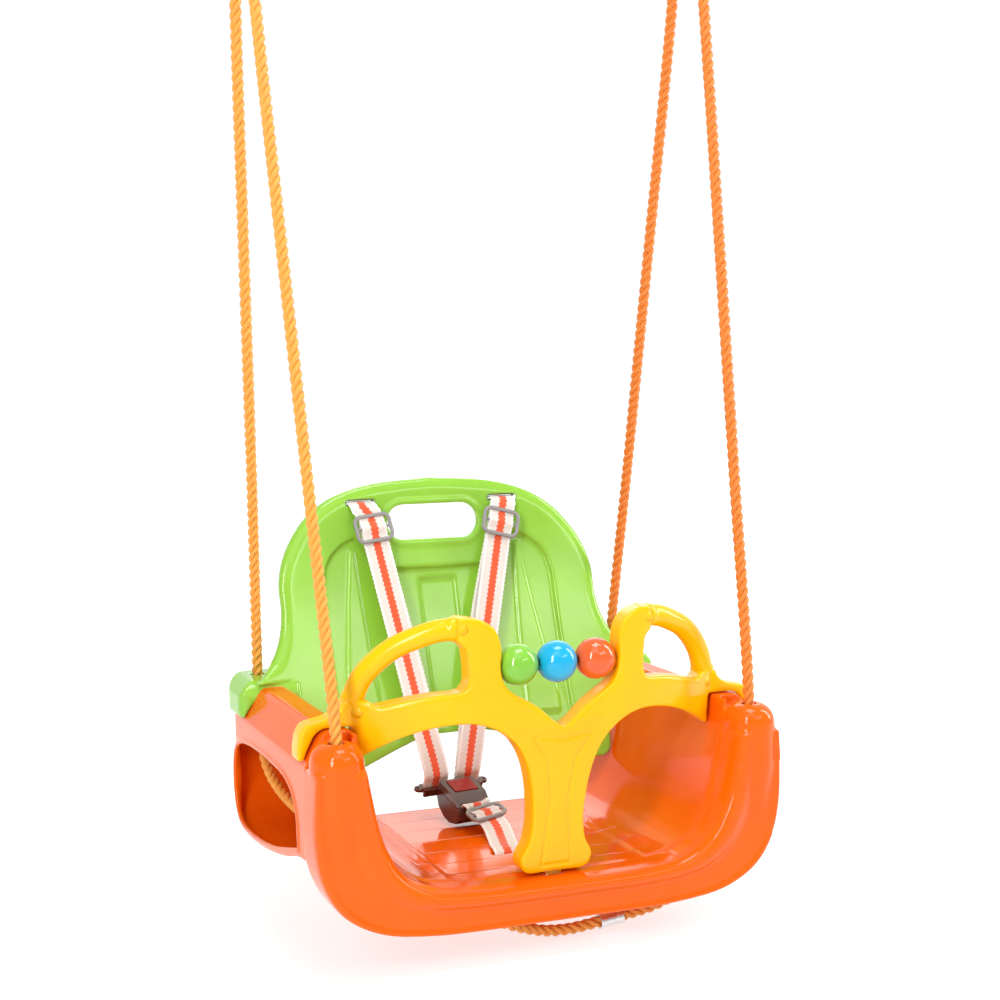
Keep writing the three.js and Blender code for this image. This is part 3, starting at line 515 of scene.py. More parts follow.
def rope_material():
    m = Nodes("laid_polypropylene")
    uv = m.new("ShaderNodeUVMap", uv_map="yarn").outputs[0]
    round_it, down_it = m.split(uv)[:2]
    # yarns run round each strand against its own turn, so that they lie along the rope
    yarn = m.math("ADD", m.math("MULTIPLY", round_it, 7.0), m.math("MULTIPLY", down_it, -230.0))
    ridge = m.math("ABSOLUTE", m.math("SINE", m.math("MULTIPLY", yarn, math.pi)))
    hair = m.noise(1.0, 4, 0.65, m.stretched(uv, (60.0, 900.0, 1.0), (0, 0, 0.35)))
    # painted light: the rope is painted golden on the left and deeper orange on the right by position, as the
    # photograph's light makes it
    painted_side_light = m.ramp(m.split(m.place)[0], -0.2, 0.2)
    pale = m.mix(painted_side_light, (1.0, 0.46, 0.07), (0.95, 0.28, 0.03))
    deep = m.mix(painted_side_light, (0.66, 0.19, 0.015), (0.52, 0.09, 0.008))
    # painted shade: the grooves between the yarns are painted darker, towards deep, while the fibre noise
    # adds random yarn tone
    groove_shade_and_yarn_tone = m.math("MULTIPLY", m.ramp(ridge, 0.0, 0.7, 0.35, 1.0), m.ramp(hair, 0.25, 0.6, 0.55, 1.0))
    fleck = m.ramp(m.noise(1500, 2, 0.5), 0.62, 0.75, 0.0, 0.35)
    base = m.mix(fleck, m.mix(groove_shade_and_yarn_tone, deep, pale), (1.0, 0.62, 0.20))
    height = m.math("ADD", m.math("MULTIPLY", ridge, 0.7), m.math("MULTIPLY", hair, 0.5))
    return m.set(Base_Color=base, Roughness=m.ramp(hair, 0.3, 0.7, 0.62, 0.38), Sheen_Weight=0.25,
                 Sheen_Roughness=0.4, Sheen_Tint=(1.0, 0.75, 0.45, 1), Normal=m.bump(height, 0.0004, 0.9))


rope, rope_path, rope_length = laid_rope("rope_loop", rope_line(), ROPE_REACH, LAY)
dress(rope, rope_material(), "swing", "rope", "suspension_rope")


def ferrule():
    """A pressed sleeve: flattened, with two dents and turned-out ends."""
    n, half = 60, 11.2
    loops = []
    xs = np.linspace(-half, half, 61)
    outer = 6.6 + 0.5 * np.exp(-((np.abs(xs) - half) / 1.4) ** 2)
    for c in (-4.2, 4.2):
        outer = outer - 0.55 * np.exp(-((xs - c) / 1.5) ** 2)
    ring = [(x, r) for x, r in zip(xs, outer)] + [(half, 5.5), (-half, 5.5)]
    for i in range(n):
        a = 2 * math.pi * i / n
        ca, sa = math.cos(a), math.sin(a)
        wide = 1.0 + 0.10 * abs(sa) ** 1.5
        loops.append([(x, r * sa * wide if r > 5.6 else r * sa, r * ca) for x, r in ring])
    o = loft(loops, "ferrule_sleeve", closed=True)
    tilt = math.atan2(2.5, 22)
    c, s = math.cos(tilt), math.sin(tilt)
    co = points_of(o) * 1000 + ORIGIN
    x, y, z = co.T
    moved = np.stack([x * c - z * s, y, x * s + z * c], axis=1) + np.array(FERRULE_MID)
    o.data.vertices.foreach_set("co", row(moved).ravel())
    return o


sleeve = dress(ferrule(), CRIMP, "swing", "ferrule_steel", "rope_ferrule")


HANG_X, HANG_Y, THIMBLE_Z, RING_Z = 216, 3.4, 869.0, 896.5


def thimble(name, side):
    """A wheel with a groove for the rope, turned from (radius, height) pairs."""
    groove, half, eye, seat = 5.6, 6.5, 7.2, 22.0
    hollow = [(seat - groove * math.sin(a), (half - 0.9) * math.cos(a))
              for a in np.linspace(0.12, math.pi - 0.12, 15)]
    rim = [(eye, 0), (eye + 0.5, 3), (eye + 1.8, half - 0.8), (eye + 2.8, half), (seat + 1.6, half),
           (seat + 2.4, half - 0.3)]
    verts, faces = lathe(rim + hollow + [(r, -h) for r, h in rim[:0:-1]], 72, "x")
    return make(name, verts + np.array([side * HANG_X, HANG_Y, THIMBLE_Z]), faces)


def ring(name, side):
    a = full_turn(20)
    verts, faces = lathe([(25 + 4 * math.cos(t), 4 * math.sin(t)) for t in a], 96, "y")
    return make(name, verts + np.array([side * HANG_X, HANG_Y, RING_Z]), faces)


for name, side in SIDES:
    wheel = thimble(f"{name}_rope_thimble", side)
    dress(wheel, NYLON, "swing", "ring_steel", f"{name}_thimble")
    dress(ring(f"{name}_steel_ring", side), STEEL, "hangers", "ring_steel", f"{name}_hanging_ring")

# ---- seat shell
WALL = 4.0
TROUGH = [(0, 40), (80, 41), (118, 46), (142, 62), (156, 88), (165, 124), (171, 157), (174, 177)]
LIP_EDGE = [(0, 0), (120, 2), (166, 10), (196, 28), (213, 56), (219, 88), (219, 124), (217, 157)]
LIP_FRONT, LIP_BACK, LIP_INNER, LIP_SIDE = -183.0, -132.0, -142.0, -156.0
POST_TOP, CHEEK_TOP, CHEEK_REAR, CHEEK_FRONT, CHEEK_IN, CHEEK_OUT = 175.0, 178.0, 147.0, -134.0, 120.0, 215.0
FLOOR, FLOOR_FLAT, FLOOR_REAR = 40.0, 90.0, 88.0
FRONT_HOLE, REAR_HOLE, HOLE = (194.9, -157.7), (190.0, 126.3), 6.8
CHEEK_UNDER = [(-134, 66), (-100, 63), (-60, 53), (-20, 45), (43, 37), (96, 36), (122, 41), (138, 53),
               (146, 74), (147, 110)]
MOUTH = [(-104, 72), (-60, 61), (-20, 52), (43, 44), (90, 43), (109, 47), (121, 57), (127, 76), (126, 98),
         (119, 113), (102, 122), (60, 128), (-20, 129), (-66, 125), (-90, 115), (-101, 98)]
# across the lip from its inner edge (0) to its outer edge (1): a tube-like roll, a flat skirt, a thin bead
LIP_SECTION = [(0, -150), (0.015, -166), (0.05, -175), (0.11, -180.5), (0.19, -183), (0.28, -182.6),
               (0.36, -180), (0.43, -177.2), (0.50, -175.6), (0.62, -175.2), (0.78, -175.4), (0.885, -175.2),
               (0.905, -176.6), (0.94, -177.6), (0.975, -176.4), (0.995, -172.5), (1, -166)]


def lip_solid(off, back, steps=84):
    inner, outer = smooth(TROUGH, steps), smooth(LIP_EDGE, steps)
    section = [(0, back)] + LIP_SECTION + [(1, back)]
    half = []
    for (xi, zi), (xo, zo) in zip(inner, outer):
        width = math.hypot(xo - xi, zo - zi)
        loop = []
        for s, y in section:
            f = (1.3 + off + s * (width - 1.3 - 2 * off)) / width
            loop.append((xi + (xo - xi) * f, y if y == back else y + off, zi + (zo - zi) * f))
        half.append(loop)
    other = [[(-x, y, z) for x, y, z in loop] for loop in half[:0:-1]]
    return loft(other + half, "lip")


def post_solid(side, off):
    """A post with a tapered foot, that runs into the lip without a step."""
    r, top = 23.0 - off, POST_TOP - off
    dome = [(r * (1 - t ** 2.6) ** (1 / 2.6), top - 22 + 22 * t) for t in np.linspace(0, 1, 16)]
    foot = [(r * along([(0, 0.66), (26, 0.84), (56, 1.0)], t), 62 + off + t) for t in np.linspace(0, 56, 12)]
    verts, faces = lathe([(0, 62 + off)] + foot + dome, 64, "z", closed=False)
    verts = verts * (1, 25.5 / 23, 1) + np.array([side * FRONT_HOLE[0], FRONT_HOLE[1], 0])
    return make("post", verts, faces)


def inset(outline, d):
    """Every side of a closed outline moved inwards by d."""
    p = np.asarray(outline, float)
    a, b = p - np.roll(p, 1, axis=0), np.roll(p, -1, axis=0) - p
    a, b = unit(a), unit(b)
    n = np.stack([-(a[:, 1] + b[:, 1]), a[:, 0] + b[:, 0]], axis=1)
    n = unit(n)
    spread = np.clip(1 / np.maximum(n[:, 1] * a[:, 0] - n[:, 0] * a[:, 1], 0.5), 1, 1.6)
    turn = np.sign(np.sum(p[:, 0] * np.roll(p[:, 1], -1) - np.roll(p[:, 0], -1) * p[:, 1]))
    return [tuple(q) for q in p + turn * n * (d * spread)[:, None]]


def trough_solid(off, top, y0, y1, steps=60):
    inner = smooth(TROUGH, steps)
    d = np.gradient(inner, axis=0)
    d = unit(d)
    half = [(x, FLOOR - off) if x < FLOOR_FLAT else (x + off * dz, z - off * dx)
            for (x, z), (dx, dz) in zip(inner, d)]
    outline = [(-x, z) for x, z in half[:0:-1]] + half
    w = half[-1][0]
    return prism(outline + [(w, top), (-w, top)], y0, y1, "y", "trough")


def arc(cx, cy, r, a0, a1, n=12):
    return [(cx + r * math.cos(a), cy + r * math.sin(a)) for a in np.linspace(a0, a1, n)]


def cheek_solid(off):
    plan = [(CHEEK_IN, CHEEK_FRONT + off), (CHEEK_OUT - off, CHEEK_FRONT + off)]
    plan += arc(CHEEK_OUT - 30, CHEEK_REAR - 30, 30 - off, 0, math.pi / 2)
    plan += [(CHEEK_IN, CHEEK_REAR - off)]
    side = [tuple(p) for p in smooth(CHEEK_UNDER, 50)] + [(CHEEK_REAR, CHEEK_TOP), (CHEEK_FRONT, CHEEK_TOP)]
    side = inset(side, off)
    x = CHEEK_OUT - off
    end = [(CHEEK_IN, 20), (x, 20), (x, CHEEK_TOP - 30), (x - 5, CHEEK_TOP - 20),
           (x - 14, CHEEK_TOP - 4 - off), (x - 20, CHEEK_TOP - off), (CHEEK_IN, CHEEK_TOP - off)]
    o = prism(plan, 20, CHEEK_TOP + 5, "z", "cheek")
    cut(o, prism(side, CHEEK_IN, CHEEK_OUT, "x"), "INTERSECT")
    return cut(o, prism(end, CHEEK_FRONT - 1, CHEEK_REAR + 1, "y"), "INTERSECT")


def sided(o, side):
    if side > 0:
        return o
    m = mirror(o)
    bpy.data.objects.remove(o)
    return m


def mouth_rim(n=160):
    """The rounded bead round the mouth of the pocket."""
    ring_line = catmull(MOUTH + MOUTH[:1], 12)[:-1]
    ring_line = spaced(np.vstack([ring_line, ring_line[:1]]), n)[:-1]
    d = np.roll(ring_line, -1, axis=0) - np.roll(ring_line, 1, axis=0)
    d = unit(d)
    loops = []
    for (y, z), (dy, dz) in zip(ring_line, d):
        loops.append([(CHEEK_OUT - 0.6 + 2.6 * math.sin(a), y + dz * (1.2 + 2.6 * math.cos(a)),
                       z - dy * (1.2 + 2.6 * math.cos(a)))
                      for a in full_turn(12)])
    return loft(loops, "mouth_rim", closed=True)


def blend_seam(o, where, steps=25):
    """Rubs out the step where two moulded bodies run into each other."""
    p = points_of(o) * 1000 + ORIGIN
    group = o.vertex_groups.new(name="seam")
    group.add([int(i) for i in np.nonzero(where(*p.T))[0]], 1.0, "REPLACE")
    rub = o.modifiers.new("rub", "SMOOTH")
    rub.factor, rub.iterations, rub.vertex_group = 0.5, steps, group.name
    return evaluated(o)


def seat_shell():
    lip, hollow = lip_solid(0, LIP_BACK), lip_solid(WALL, LIP_BACK + 6)
    for o in (lip, hollow):
        cut(o, block(-300, 300, -300, 0, POST_TOP - 25, 300))
    for _, side in SIDES:
        join(lip, post_solid(side, 0))
        join(hollow, post_solid(side, WALL))
    cut(lip, hollow)
    cut(lip, block(-159, 159, LIP_BACK - 30, LIP_BACK + 2, -5, FLOOR - WALL - 2))
    y0, y1 = LIP_INNER - 8, CHEEK_REAR - WALL
    tub = trough_solid(WALL, CHEEK_TOP - 0.5, y0, y1)
    void = cut(cheek_solid(WALL), copy(tub))
    for _, side in SIDES:
        join(tub, sided(cheek_solid(0), side))
    rim = spaced(catmull(MOUTH + MOUTH[:1], 12), 120)[:-1]
    for _, side in SIDES:
        cut(tub, sided(copy(void), side))
        cut(tub, sided(prism([tuple(p) for p in rim], CHEEK_OUT - 12, CHEEK_OUT + 10, "x"), side))
        join(tub, sided(mouth_rim(), side))
    bpy.data.objects.remove(void)
    cut(tub, trough_solid(0, CHEEK_TOP + 10, y0 - 1, CHEEK_REAR + 5))
    cut(tub, block(-118, 118, FLOOR_REAR, 200, 20, 80))
    join(lip, tub)
    for _, side in SIDES:
        cut(lip, rod_z(side * FRONT_HOLE[0], FRONT_HOLE[1], HOLE, 150, 200))
        cut(lip, rod_z(side * REAR_HOLE[0], REAR_HOLE[1], HOLE, 160, 200))
        cut(lip, block(*sorted((side * 147, side * 168)), -14, 14, 20, 52))
    cut(lip, block(-27.5, 1.5, -88, -80, FLOOR - 10, FLOOR + 5))
    cut(lip, block(-9, 9, -159, -152, FLOOR - 6, FLOOR + 5))
    remesh(lip, 1.8, 7)

    def planks(x, y, z):
        """The floor is laid in shallow steps across the seat."""
        flat = bump01((116 - np.abs(x)) / 8) * bump01((y + 132) / 6) * (z > FLOOR - 1.6) * (z < FLOOR + 3)
        t = ((y - FLOOR_REAR) / 37.0) % 1.0
        return x, y, z + flat * (1.1 * (t - 0.5) - 0.15)

    bend(lip, planks)
    blend_seam(lip, lambda x, y, z: (np.abs(x) > 158) & (y < -146) & (z > 54) & (z < 122))
    return name_it(lip, "seat_moulding")


dress(seat_shell(), ORANGE, "swing", "orange_plastic", "seat_shell")

# ---- backrest
BACK_THICK, BACK_RIM, BACK_BOW, BACK_HALF = 4.0, 13.0, 16.0, 168.0
BACK_LEAN = catmull([(84, 60), (118, 73), (180, 100), (240, 122), (306, 140), (340, 146), (368, 148)], 12)
BACK_LOW = [(0, 118), (32, 117), (60, 109), (104, 94), (132, 86), (148, 86), (155, 92), (157, 107)]
BACK_HIGH = [(204, 180.5), (196, 185), (181, 201), (171, 222), (167, 245), (167, 268), (161, 292),
             (148, 315), (130, 335), (104, 351), (65, 362), (0, 367)]
HAND = (48.5, 306.0, 341.0)
STRAP_X, STRAP_Z = 76.0, 345.0
# the height of the sunk field's upper edge, from the middle outwards
FIELD_TOP = [(0, 279), (50, 280), (60, 285), (68, 297), (75, 308), (86, 312), (100, 306), (112, 296),
             (118, 286), (124, 262)]


def back_face(x, z):
    return along(BACK_LEAN, z) - BACK_BOW * (x / BACK_HALF) ** 2


def slot_outline(cx, cz, half, low, high):
    r = min((high - low) / 2, half) * 0.98
    corners = ((half - r, low + r, -math.pi / 2), (half - r, high - r, 0), (-half + r, high - r, math.pi / 2),
               (-half + r, low + r, math.pi))
    out = []
    for x, z, a in corners:
        out += arc(cx + x, cz + z, r, a, a + math.pi / 2, 10)
    return out


def distance(points, outline):
    """Shortest distance of each (x, z) point to a closed outline."""
    p, a = np.asarray(points, float), np.asarray(outline, float)
    best = np.full(len(p), 1e9)
    for s, e in zip(a, np.roll(a, -1, axis=0)):
        d = e - s
        t = np.clip(((p - s) @ d) / max(d @ d, 1e-9), 0, 1)
        best = np.minimum(best, np.linalg.norm(p - s - t[:, None] * d, axis=1))
    return best


def back_outline():
    half = [tuple(p) for p in catmull(BACK_LOW, 6)] + [(160, 140), (164, 180.5)]
    return mirrored(half + [tuple(p) for p in catmull(BACK_HIGH, 6)])


def back_relief(x, y, z):
    """The pressed pattern of the panel: a sunk arch, a middle recess, tapered flutes, rolled edges."""
    ax = np.abs(x)
    field = bump01((along(FIELD_TOP, ax) - z) / 3.5) * bump01((124 - ax) / 3.5)
    recess = bump01((20.5 - ax) / 3) * bump01((268 - z) / 3) * bump01((z - 150) / 3)
    tip = np.clip((301 - z) / 150, 0, 1)
    flute = bump01((3 + 15 * tip - np.abs(ax - (88 + 6 * tip))) / 2.5)
    flute = flute * bump01((301 - z) / 6) * bump01((z - 128) / 6)
    p = np.stack([x, z], axis=1)
    hole = distance(p, slot_outline(0, 0, *HAND))
    lip = bump01((7.5 - hole) / 3)
    edge = np.clip((13 - distance(p, back_outline()[::3])) / 13, 0, 1)
    roll = 5.0 * edge ** 2 * bump01((z - 186) / 14)
    return x, y + 4.0 * field + 2.2 * recess - 2.3 * flute - 1.1 * lip + roll, z


def foot_solid(side):
    x, y, r = 190, 118, 29
    plan = [(x - r, y - 40), (x + r - 10, y - 40)] + arc(x + r - 10, y - 30, 10, -math.pi / 2, 0, 8)
    plan += arc(x + r - 28, y + 5, 28, 0, math.pi / 2) + [(x - r, y + 33)]
    o = prism(plan, 150, 184, "z", "foot")
    arm = cut(cheek_solid(-0.4), trough_solid(-0.4, CHEEK_TOP + 20, -200, 200))
    cut(o, arm)
    cut(o, block(100, 172.5, 0, 200, 0, CHEEK_TOP - 8))
    remesh(o, 1.6, 4)

    def soften(px, py, pz):
        """The outer and front edges of the cap fall away in a broad round."""
        edge = np.maximum(np.clip((px - (x + r - 17)) / 17, 0, 1), np.clip((y - 40 + 16 - py) / 16, 0, 1))
        return px, py, pz - 13 * edge ** 2.2 * bump01((pz - 158) / 26)

    bend(o, soften)
    return sided(o, side)


def backrest():
    outline = back_outline()
    panel = prism(outline, 0, BACK_THICK, "y", "panel")
    cut(panel, prism(slot_outline(0, 0, *HAND), -20, 20, "y"))
    band = prism(outline, 0.2, BACK_RIM - 3, "y")
    cut(band, prism(inset(outline, BACK_THICK), -20, 40, "y"))
    join(panel, band)
    collar = prism(slot_outline(0, 0, HAND[0] + 4, HAND[1] - 4, HAND[2] + 4), 0, 9, "y")
    cut(collar, prism(slot_outline(0, 0, *HAND), -20, 20, "y"))
    join(panel, collar)
    remesh(panel, 1.35, 3)
    bend(panel, back_relief)
    bend(panel, lambda x, y, z: (x, y + back_face(x, z), z))
    for _, side in SIDES:
        join(panel, foot_solid(side))
        cut(panel, rod_z(side * REAR_HOLE[0], REAR_HOLE[1], HOLE, 140, 200))
        cut(panel, prism(slot_outline(side * STRAP_X, STRAP_Z, 16, -3, 3), 100, 200, "y"))
    remesh(panel, 1.35, 4)
    return name_it(panel, "backrest_moulding")


dress(backrest(), GREEN, "swing", "green_plastic", "backrest")

# ---- play guard
GUARD_TOP = [(0, 174), (10, 181), (22, 192), (34, 200), (46, 207), (52, 214), (55, 225), (55, 248),
             (60, 262), (72, 270), (85, 272), (91, 272)]
GUARD_SOCKET = [(91, 251), (84, 245), (82.5, 236), (82.5, 214), (87, 209), (104, 207), (128, 202.5),
                (152, 196)]
GUARD_END = [(181, 194), (190, 188), (204, 184.8), (212, 182.5), (217.5, 173), (219.8, 152)]
GUARD_SADDLE = [(214, 152), (211.4, 159), (202.4, 175.1), (195.6, 178.8)]
GUARD_UNDER = [(164, 153), (150, 162), (128, 172.5), (105, 179), (85, 181), (72, 179.5), (58, 174),
               (43, 162), (34, 147), (28, 127), (25, 105), (24.5, 88), (27, 70), (34, 55), (31, 45),
               (26, 41.5), (0, 41)]
GRIP_PATH = [(90.5, 261.5), (105, 259.5), (120, 254), (136, 246), (150, 234), (162, 218), (168.5, 200.5)]
BEAD_Z, BEAD_PITCH, BEAD_RADIUS = 228.5, 36.4, 18.0


def guard_middle(x, z):
    bow = 283 - np.sqrt(283.0 ** 2 - np.minimum(np.abs(x), 172) ** 2)
    lean = np.clip((180 - z) / 138, 0, 1.2) * 23 * np.exp(-((x / 70) ** 2))
    return -173 + bow + lean


def guard_relief(x, y, z):
    """A shallow groove draws a waisted panel on the front of the post."""
    line = [(-27, 167), (0, 163), (27, 167), (13, 145), (8.5, 112), (13.5, 48), (-13.5, 48), (-8.5, 112),
            (-13, 145)]
    near = distance(np.stack([x, z], axis=1), line)
    return x, y + 1.3 * np.exp(-((near / 1.25) ** 2)) * (y < -4), z


def play_guard():
    top, socket, end, saddle, under = ([tuple(p) for p in catmull(part, 5)] for part in (
        GUARD_TOP, GUARD_SOCKET, GUARD_END, GUARD_SADDLE, GUARD_UNDER))
    half = [*top, *socket, (158, 201), (179, 201), *end, *saddle, (170, 178.8), (167.6, 152), *under]
    body = prism(mirrored(half), -12, 12, "y", "guard")
    remesh(body, 1.25, 36)
    bend(body, guard_relief)
    for side in (-1, 1):
        for x, z in ((87, 262), (168, 191)):
            boss = [(0, -14), (4.2, -14), (4.2, -11.2), (3.6, -10.7), (0, -10.5)]
            verts, faces = lathe(boss, 32, "y", False)
            join(body, make("boss", verts + np.array([side * x, 1.6, z]), faces))
    bend(body, lambda x, y, z: (x, y + guard_middle(x, z), z))
    join(body, prism([(-8, 46), *arc(0, 43, 8, math.pi, 2 * math.pi, 16), (8, 46)], -158, -153, "y"))
    smooth_faces(body)
    return name_it(body, "guard_moulding")


dress(play_guard(), YELLOW, "guard", "yellow_plastic", "play_guard")


def sweep(line, radii, name, sides=28):
    """A round body of changing radius along a line."""
    _, n, b = moving_frame(np.asarray(line, float))
    turns = full_turn(sides)
    loops = [[c + r * (n[i] * math.cos(a) + b[i] * math.sin(a)) for a in turns]
             for i, (c, r) in enumerate(zip(line, radii))]
    return loft(loops, name)


def grip(name, side):
    """A curved tube with a thickened collar where it meets each socket."""
    line = np.array([(x, float(guard_middle(x, z)), z) for x, z in GRIP_PATH])
    line = spaced(catmull(line, 16), 90)
    first, last = line[0] - line[1], line[-1] - line[-2]
    first, last = first / np.linalg.norm(first), last / np.linalg.norm(last)
    plug = (2, 4.4, 4.6, 6)
    line = np.vstack([[line[0] + first * k for k in plug[::-1]], line, [line[-1] + last * k for k in plug]])
    s = np.concatenate([[0], np.cumsum(np.linalg.norm(np.diff(line, axis=0), axis=1))])
    near = np.minimum(s - 6, s[-1] - 6 - s)
    radii = np.where(near < -4.5, 6.8, 9.7 + 1.0 * np.exp(-((near - 0.6) / 3.0) ** 2))
    return sided(sweep(line, radii, name), side)


for name, side in SIDES:
    dress(name_it(grip("grip", side), f"{name}_grip_tube"), YELLOW, "guard", "yellow_plastic", f"{name}_grip")

AXLE_Y = float(guard_middle(55.0, BEAD_Z))
verts, faces = lathe([(0, -62), (2.2, -62), (2.5, -61.6), (2.5, 61.6), (2.2, 62), (0, 62)], 32, "x", False)
pin = make("bead_pin", verts + np.array([0, AXLE_Y, BEAD_Z]), faces)
dress(pin, DARK_PIN, "guard", "steel_pin", "bead_axle")
for name, place, mat in (("green", -1, BEAD_GREEN), ("blue", 0, BEAD_BLUE), ("red", 1, BEAD_RED)):
    # a ball with a moulding line round it and a small flat with a rounded edge at each end of its bore
    ball = [(BEAD_RADIUS * math.sin(a), -BEAD_RADIUS * math.cos(a) * 0.995)
            for a in np.linspace(math.radians(14), math.radians(166), 61)]
    end = ball[-1][1]
    bore = [(3.3, end - 0.3), (3.0, end - 1.0), (3.0, -end + 1.0), (3.3, -end + 0.3)]
    verts, faces = lathe(ball + bore, 72, "x")
    verts = verts * (1 + 0.006 * np.exp(-((verts[:, 0] / 0.5) ** 2)))[:, None]
    bead = make(f"{name}_bead_ball", verts + np.array([place * BEAD_PITCH, AXLE_Y, BEAD_Z]), faces)
    dress(bead, mat, f"{name}_bead", f"bead_{name}", f"{name}_bead")

# ---- harness
BUCKLE_AT = Matrix.Translation((-14, 22, 62.5)) @ (
    Matrix.Rotation(math.radians(8), 4, "Z") @ Matrix.Rotation(math.radians(18), 4, "X"))
BUCKLE_X = np.array((BUCKLE_AT.to_3x3() @ Vector((1, 0, 0)))[:])
TONGUE_X, TONGUE_Y = 17.5, 32


def from_buckle(x, y, z):
    return np.array((BUCKLE_AT @ Vector((x, y, z)))[:])


def webbing_material():
    m = Nodes("striped_webbing")
    uv = m.new("ShaderNodeUVMap", uv_map="web").outputs[0]
    u, v = m.split(uv)[:2]                           # millimetres across and along
    tooth = m.math("ABSOLUTE", m.math("SUBTRACT", m.math("FRACT", m.math("MULTIPLY", v, 1 / 4.6)), 0.5))
    reach = m.math("ADD", 3.0, m.math("MULTIPLY", tooth, 2.9))
    stripe = m.ramp(m.math("SUBTRACT", reach, m.math("ABSOLUTE", u)), -0.12, 0.12)
    warp = m.math("SINE", m.math("MULTIPLY", u, 2 * math.pi / 0.95))
    weft = m.math("ADD", m.math("MULTIPLY", v, 2 * math.pi / 1.3), m.math("MULTIPLY", warp, 1.4))
    weft = m.math("SINE", weft)
    fuzz = m.noise(2600, 3, 0.7)
    soil = m.noise(60, 4, 0.6)
    cloth = m.mix(m.ramp(weft, -1, 1), (0.60, 0.55, 0.50), (0.88, 0.84, 0.79))
    cloth = m.mix(m.ramp(soil, 0.35, 0.75, 0.0, 0.25), cloth, (0.78, 0.69, 0.62))
    rim = m.ramp(m.math("ABSOLUTE", u), 10.6, 11.2)
    cloth = m.mix(m.math("MULTIPLY", rim, 0.8), cloth, (0.95, 0.93, 0.90))
    dyed = m.mix(m.ramp(weft, -1, 1), (0.66, 0.055, 0.012), (0.90, 0.13, 0.025))
    height = m.math("MULTIPLY", m.math("MULTIPLY", warp, weft), 0.5)
    height = m.math("ADD", height, m.math("MULTIPLY", fuzz, 0.6))
    return m.set(Base_Color=m.mix(stripe, cloth, dyed), Roughness=0.78, Sheen_Weight=0.35,
                 Sheen_Roughness=0.45, Normal=m.bump(height, 0.00028, 0.8))


WEBBING = webbing_material()


def ribbon(name, centre, across, face, half=13.2, thick=1.25, wave=0.0, seed=0.0):
    """A woven band with rounded edges. centre, across and face have one row for each step along it."""
    flat = (-0.97, -0.8, -0.5, -0.2, 0.2, 0.5, 0.8, 0.97)
    prof = [(-1, -0.45), *[(a, -1) for a in flat], (1, -0.45), (1, 0.45), *[(a, 1) for a in flat[::-1]],
            (-1, 0.45)]
    s = np.concatenate([[0], np.cumsum(np.linalg.norm(np.diff(centre, axis=0), axis=1))])
    fade = bump01(s / 12) * bump01((s[-1] - s) / 12)
    loops, us, vs = [], [], []
    for i in range(len(centre)):
        loop = []
        edge = 1 + 0.03 * math.sin(s[i] / 4.6 * 2 * math.pi)
        for a, b in prof:
            cup = wave * fade[i] * math.sin(s[i] / 31 + seed + 1.1 * a)
            loop.append(centre[i] + across[i] * (a * half * edge) + face[i] * (b * thick / 2 + cup))
            us.append(a * half)
            vs.append(s[i])
        loops.append(loop)
    o = loft(loops, name)
    me = o.data
    # the vertices keep their order, so each loop corner can look its own values up
    layer = me.uv_layers.new(name="web")
    idx = np.zeros(len(me.loops), int)
    me.loops.foreach_get("vertex_index", idx)
    layer.data.foreach_set("uv", np.stack([np.array(us)[idx], np.array(vs)[idx]], axis=1).ravel())
    return o


def band(stations, step=0.7):
    """Even steps along a strap's stations of (place, direction of its width)."""
    at = catmull([p for p, _ in stations], 16)
    wide = catmull([w for _, w in stations], 16)
    length = np.linalg.norm(np.diff(at, axis=0), axis=1).sum()
    both = spaced(np.hstack([at, wide * 0.001]), int(length / step))
    at, wide = both[:, :3], both[:, 3:] * 1000
    t = np.gradient(at, axis=0)
    t = unit(t)
    wide = wide - t * np.sum(wide * t, axis=1)[:, None]
    wide = unit(wide)
    return at, wide, np.cross(t, wide)


EAST = np.array((1.0, 0, 0))


def shoulder(name, side):
    """A shoulder strap: the layer in front, and the one that runs back up behind it to the adjuster."""
    def top(dx, y, dz):
        return np.array((side * (STRAP_X - dx), y, STRAP_Z + dz))

    glide, end = top(8, 129.5, -25), from_buckle(side * TONGUE_X, TONGUE_Y, 13)
    down = (end - glide) / np.linalg.norm(end - glide)
    high = (top(0, 160, 0), top(0, 150, 0), top(0, 142.5, -0.2), top(0.6, 138.4, -3.4), glide - down * 13,
            glide, glide + down * 13)
    low = (end, *(from_buckle(side * TONGUE_X, TONGUE_Y, z) for z in (6, -5)))
    st = [(p, EAST) for p in high]
    st += [(glide + (end - glide) * k, EAST * (1 - k) + BUCKLE_X * k) for k in (0.2, 0.4, 0.6, 0.8)]
    st += [(p, BUCKLE_X) for p in low]
    at, wide, face = band(st)
    front = ribbon(f"{name}_strap_front", at, wide, face, wave=0.08, seed=side)
    below = at[:, 2] < glide[2] + 3
    at2, wide2, face2 = at[below], wide[below], face[below]
    s = np.linspace(0, 1, len(at2))
    part = np.sin(math.pi * np.clip(s, 0, 1)) ** 1.5
    at2 = at2 + np.array((0, 1.0, 0)) * (1.6 + 4.5 * part)[:, None] + np.outer(part * -3.2 * side, EAST)
    behind = ribbon(f"{name}_strap_back", at2, wide2, face2, wave=0.9, seed=2 + side)
    for o in (front, behind):
        dress(o, WEBBING, None, "webbing", f"{name}_shoulder_strap")
        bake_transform(o)


for name, side in SIDES:
    shoulder(name, side)


CROTCH_AT = (-6.5, -13.0, 56.2)


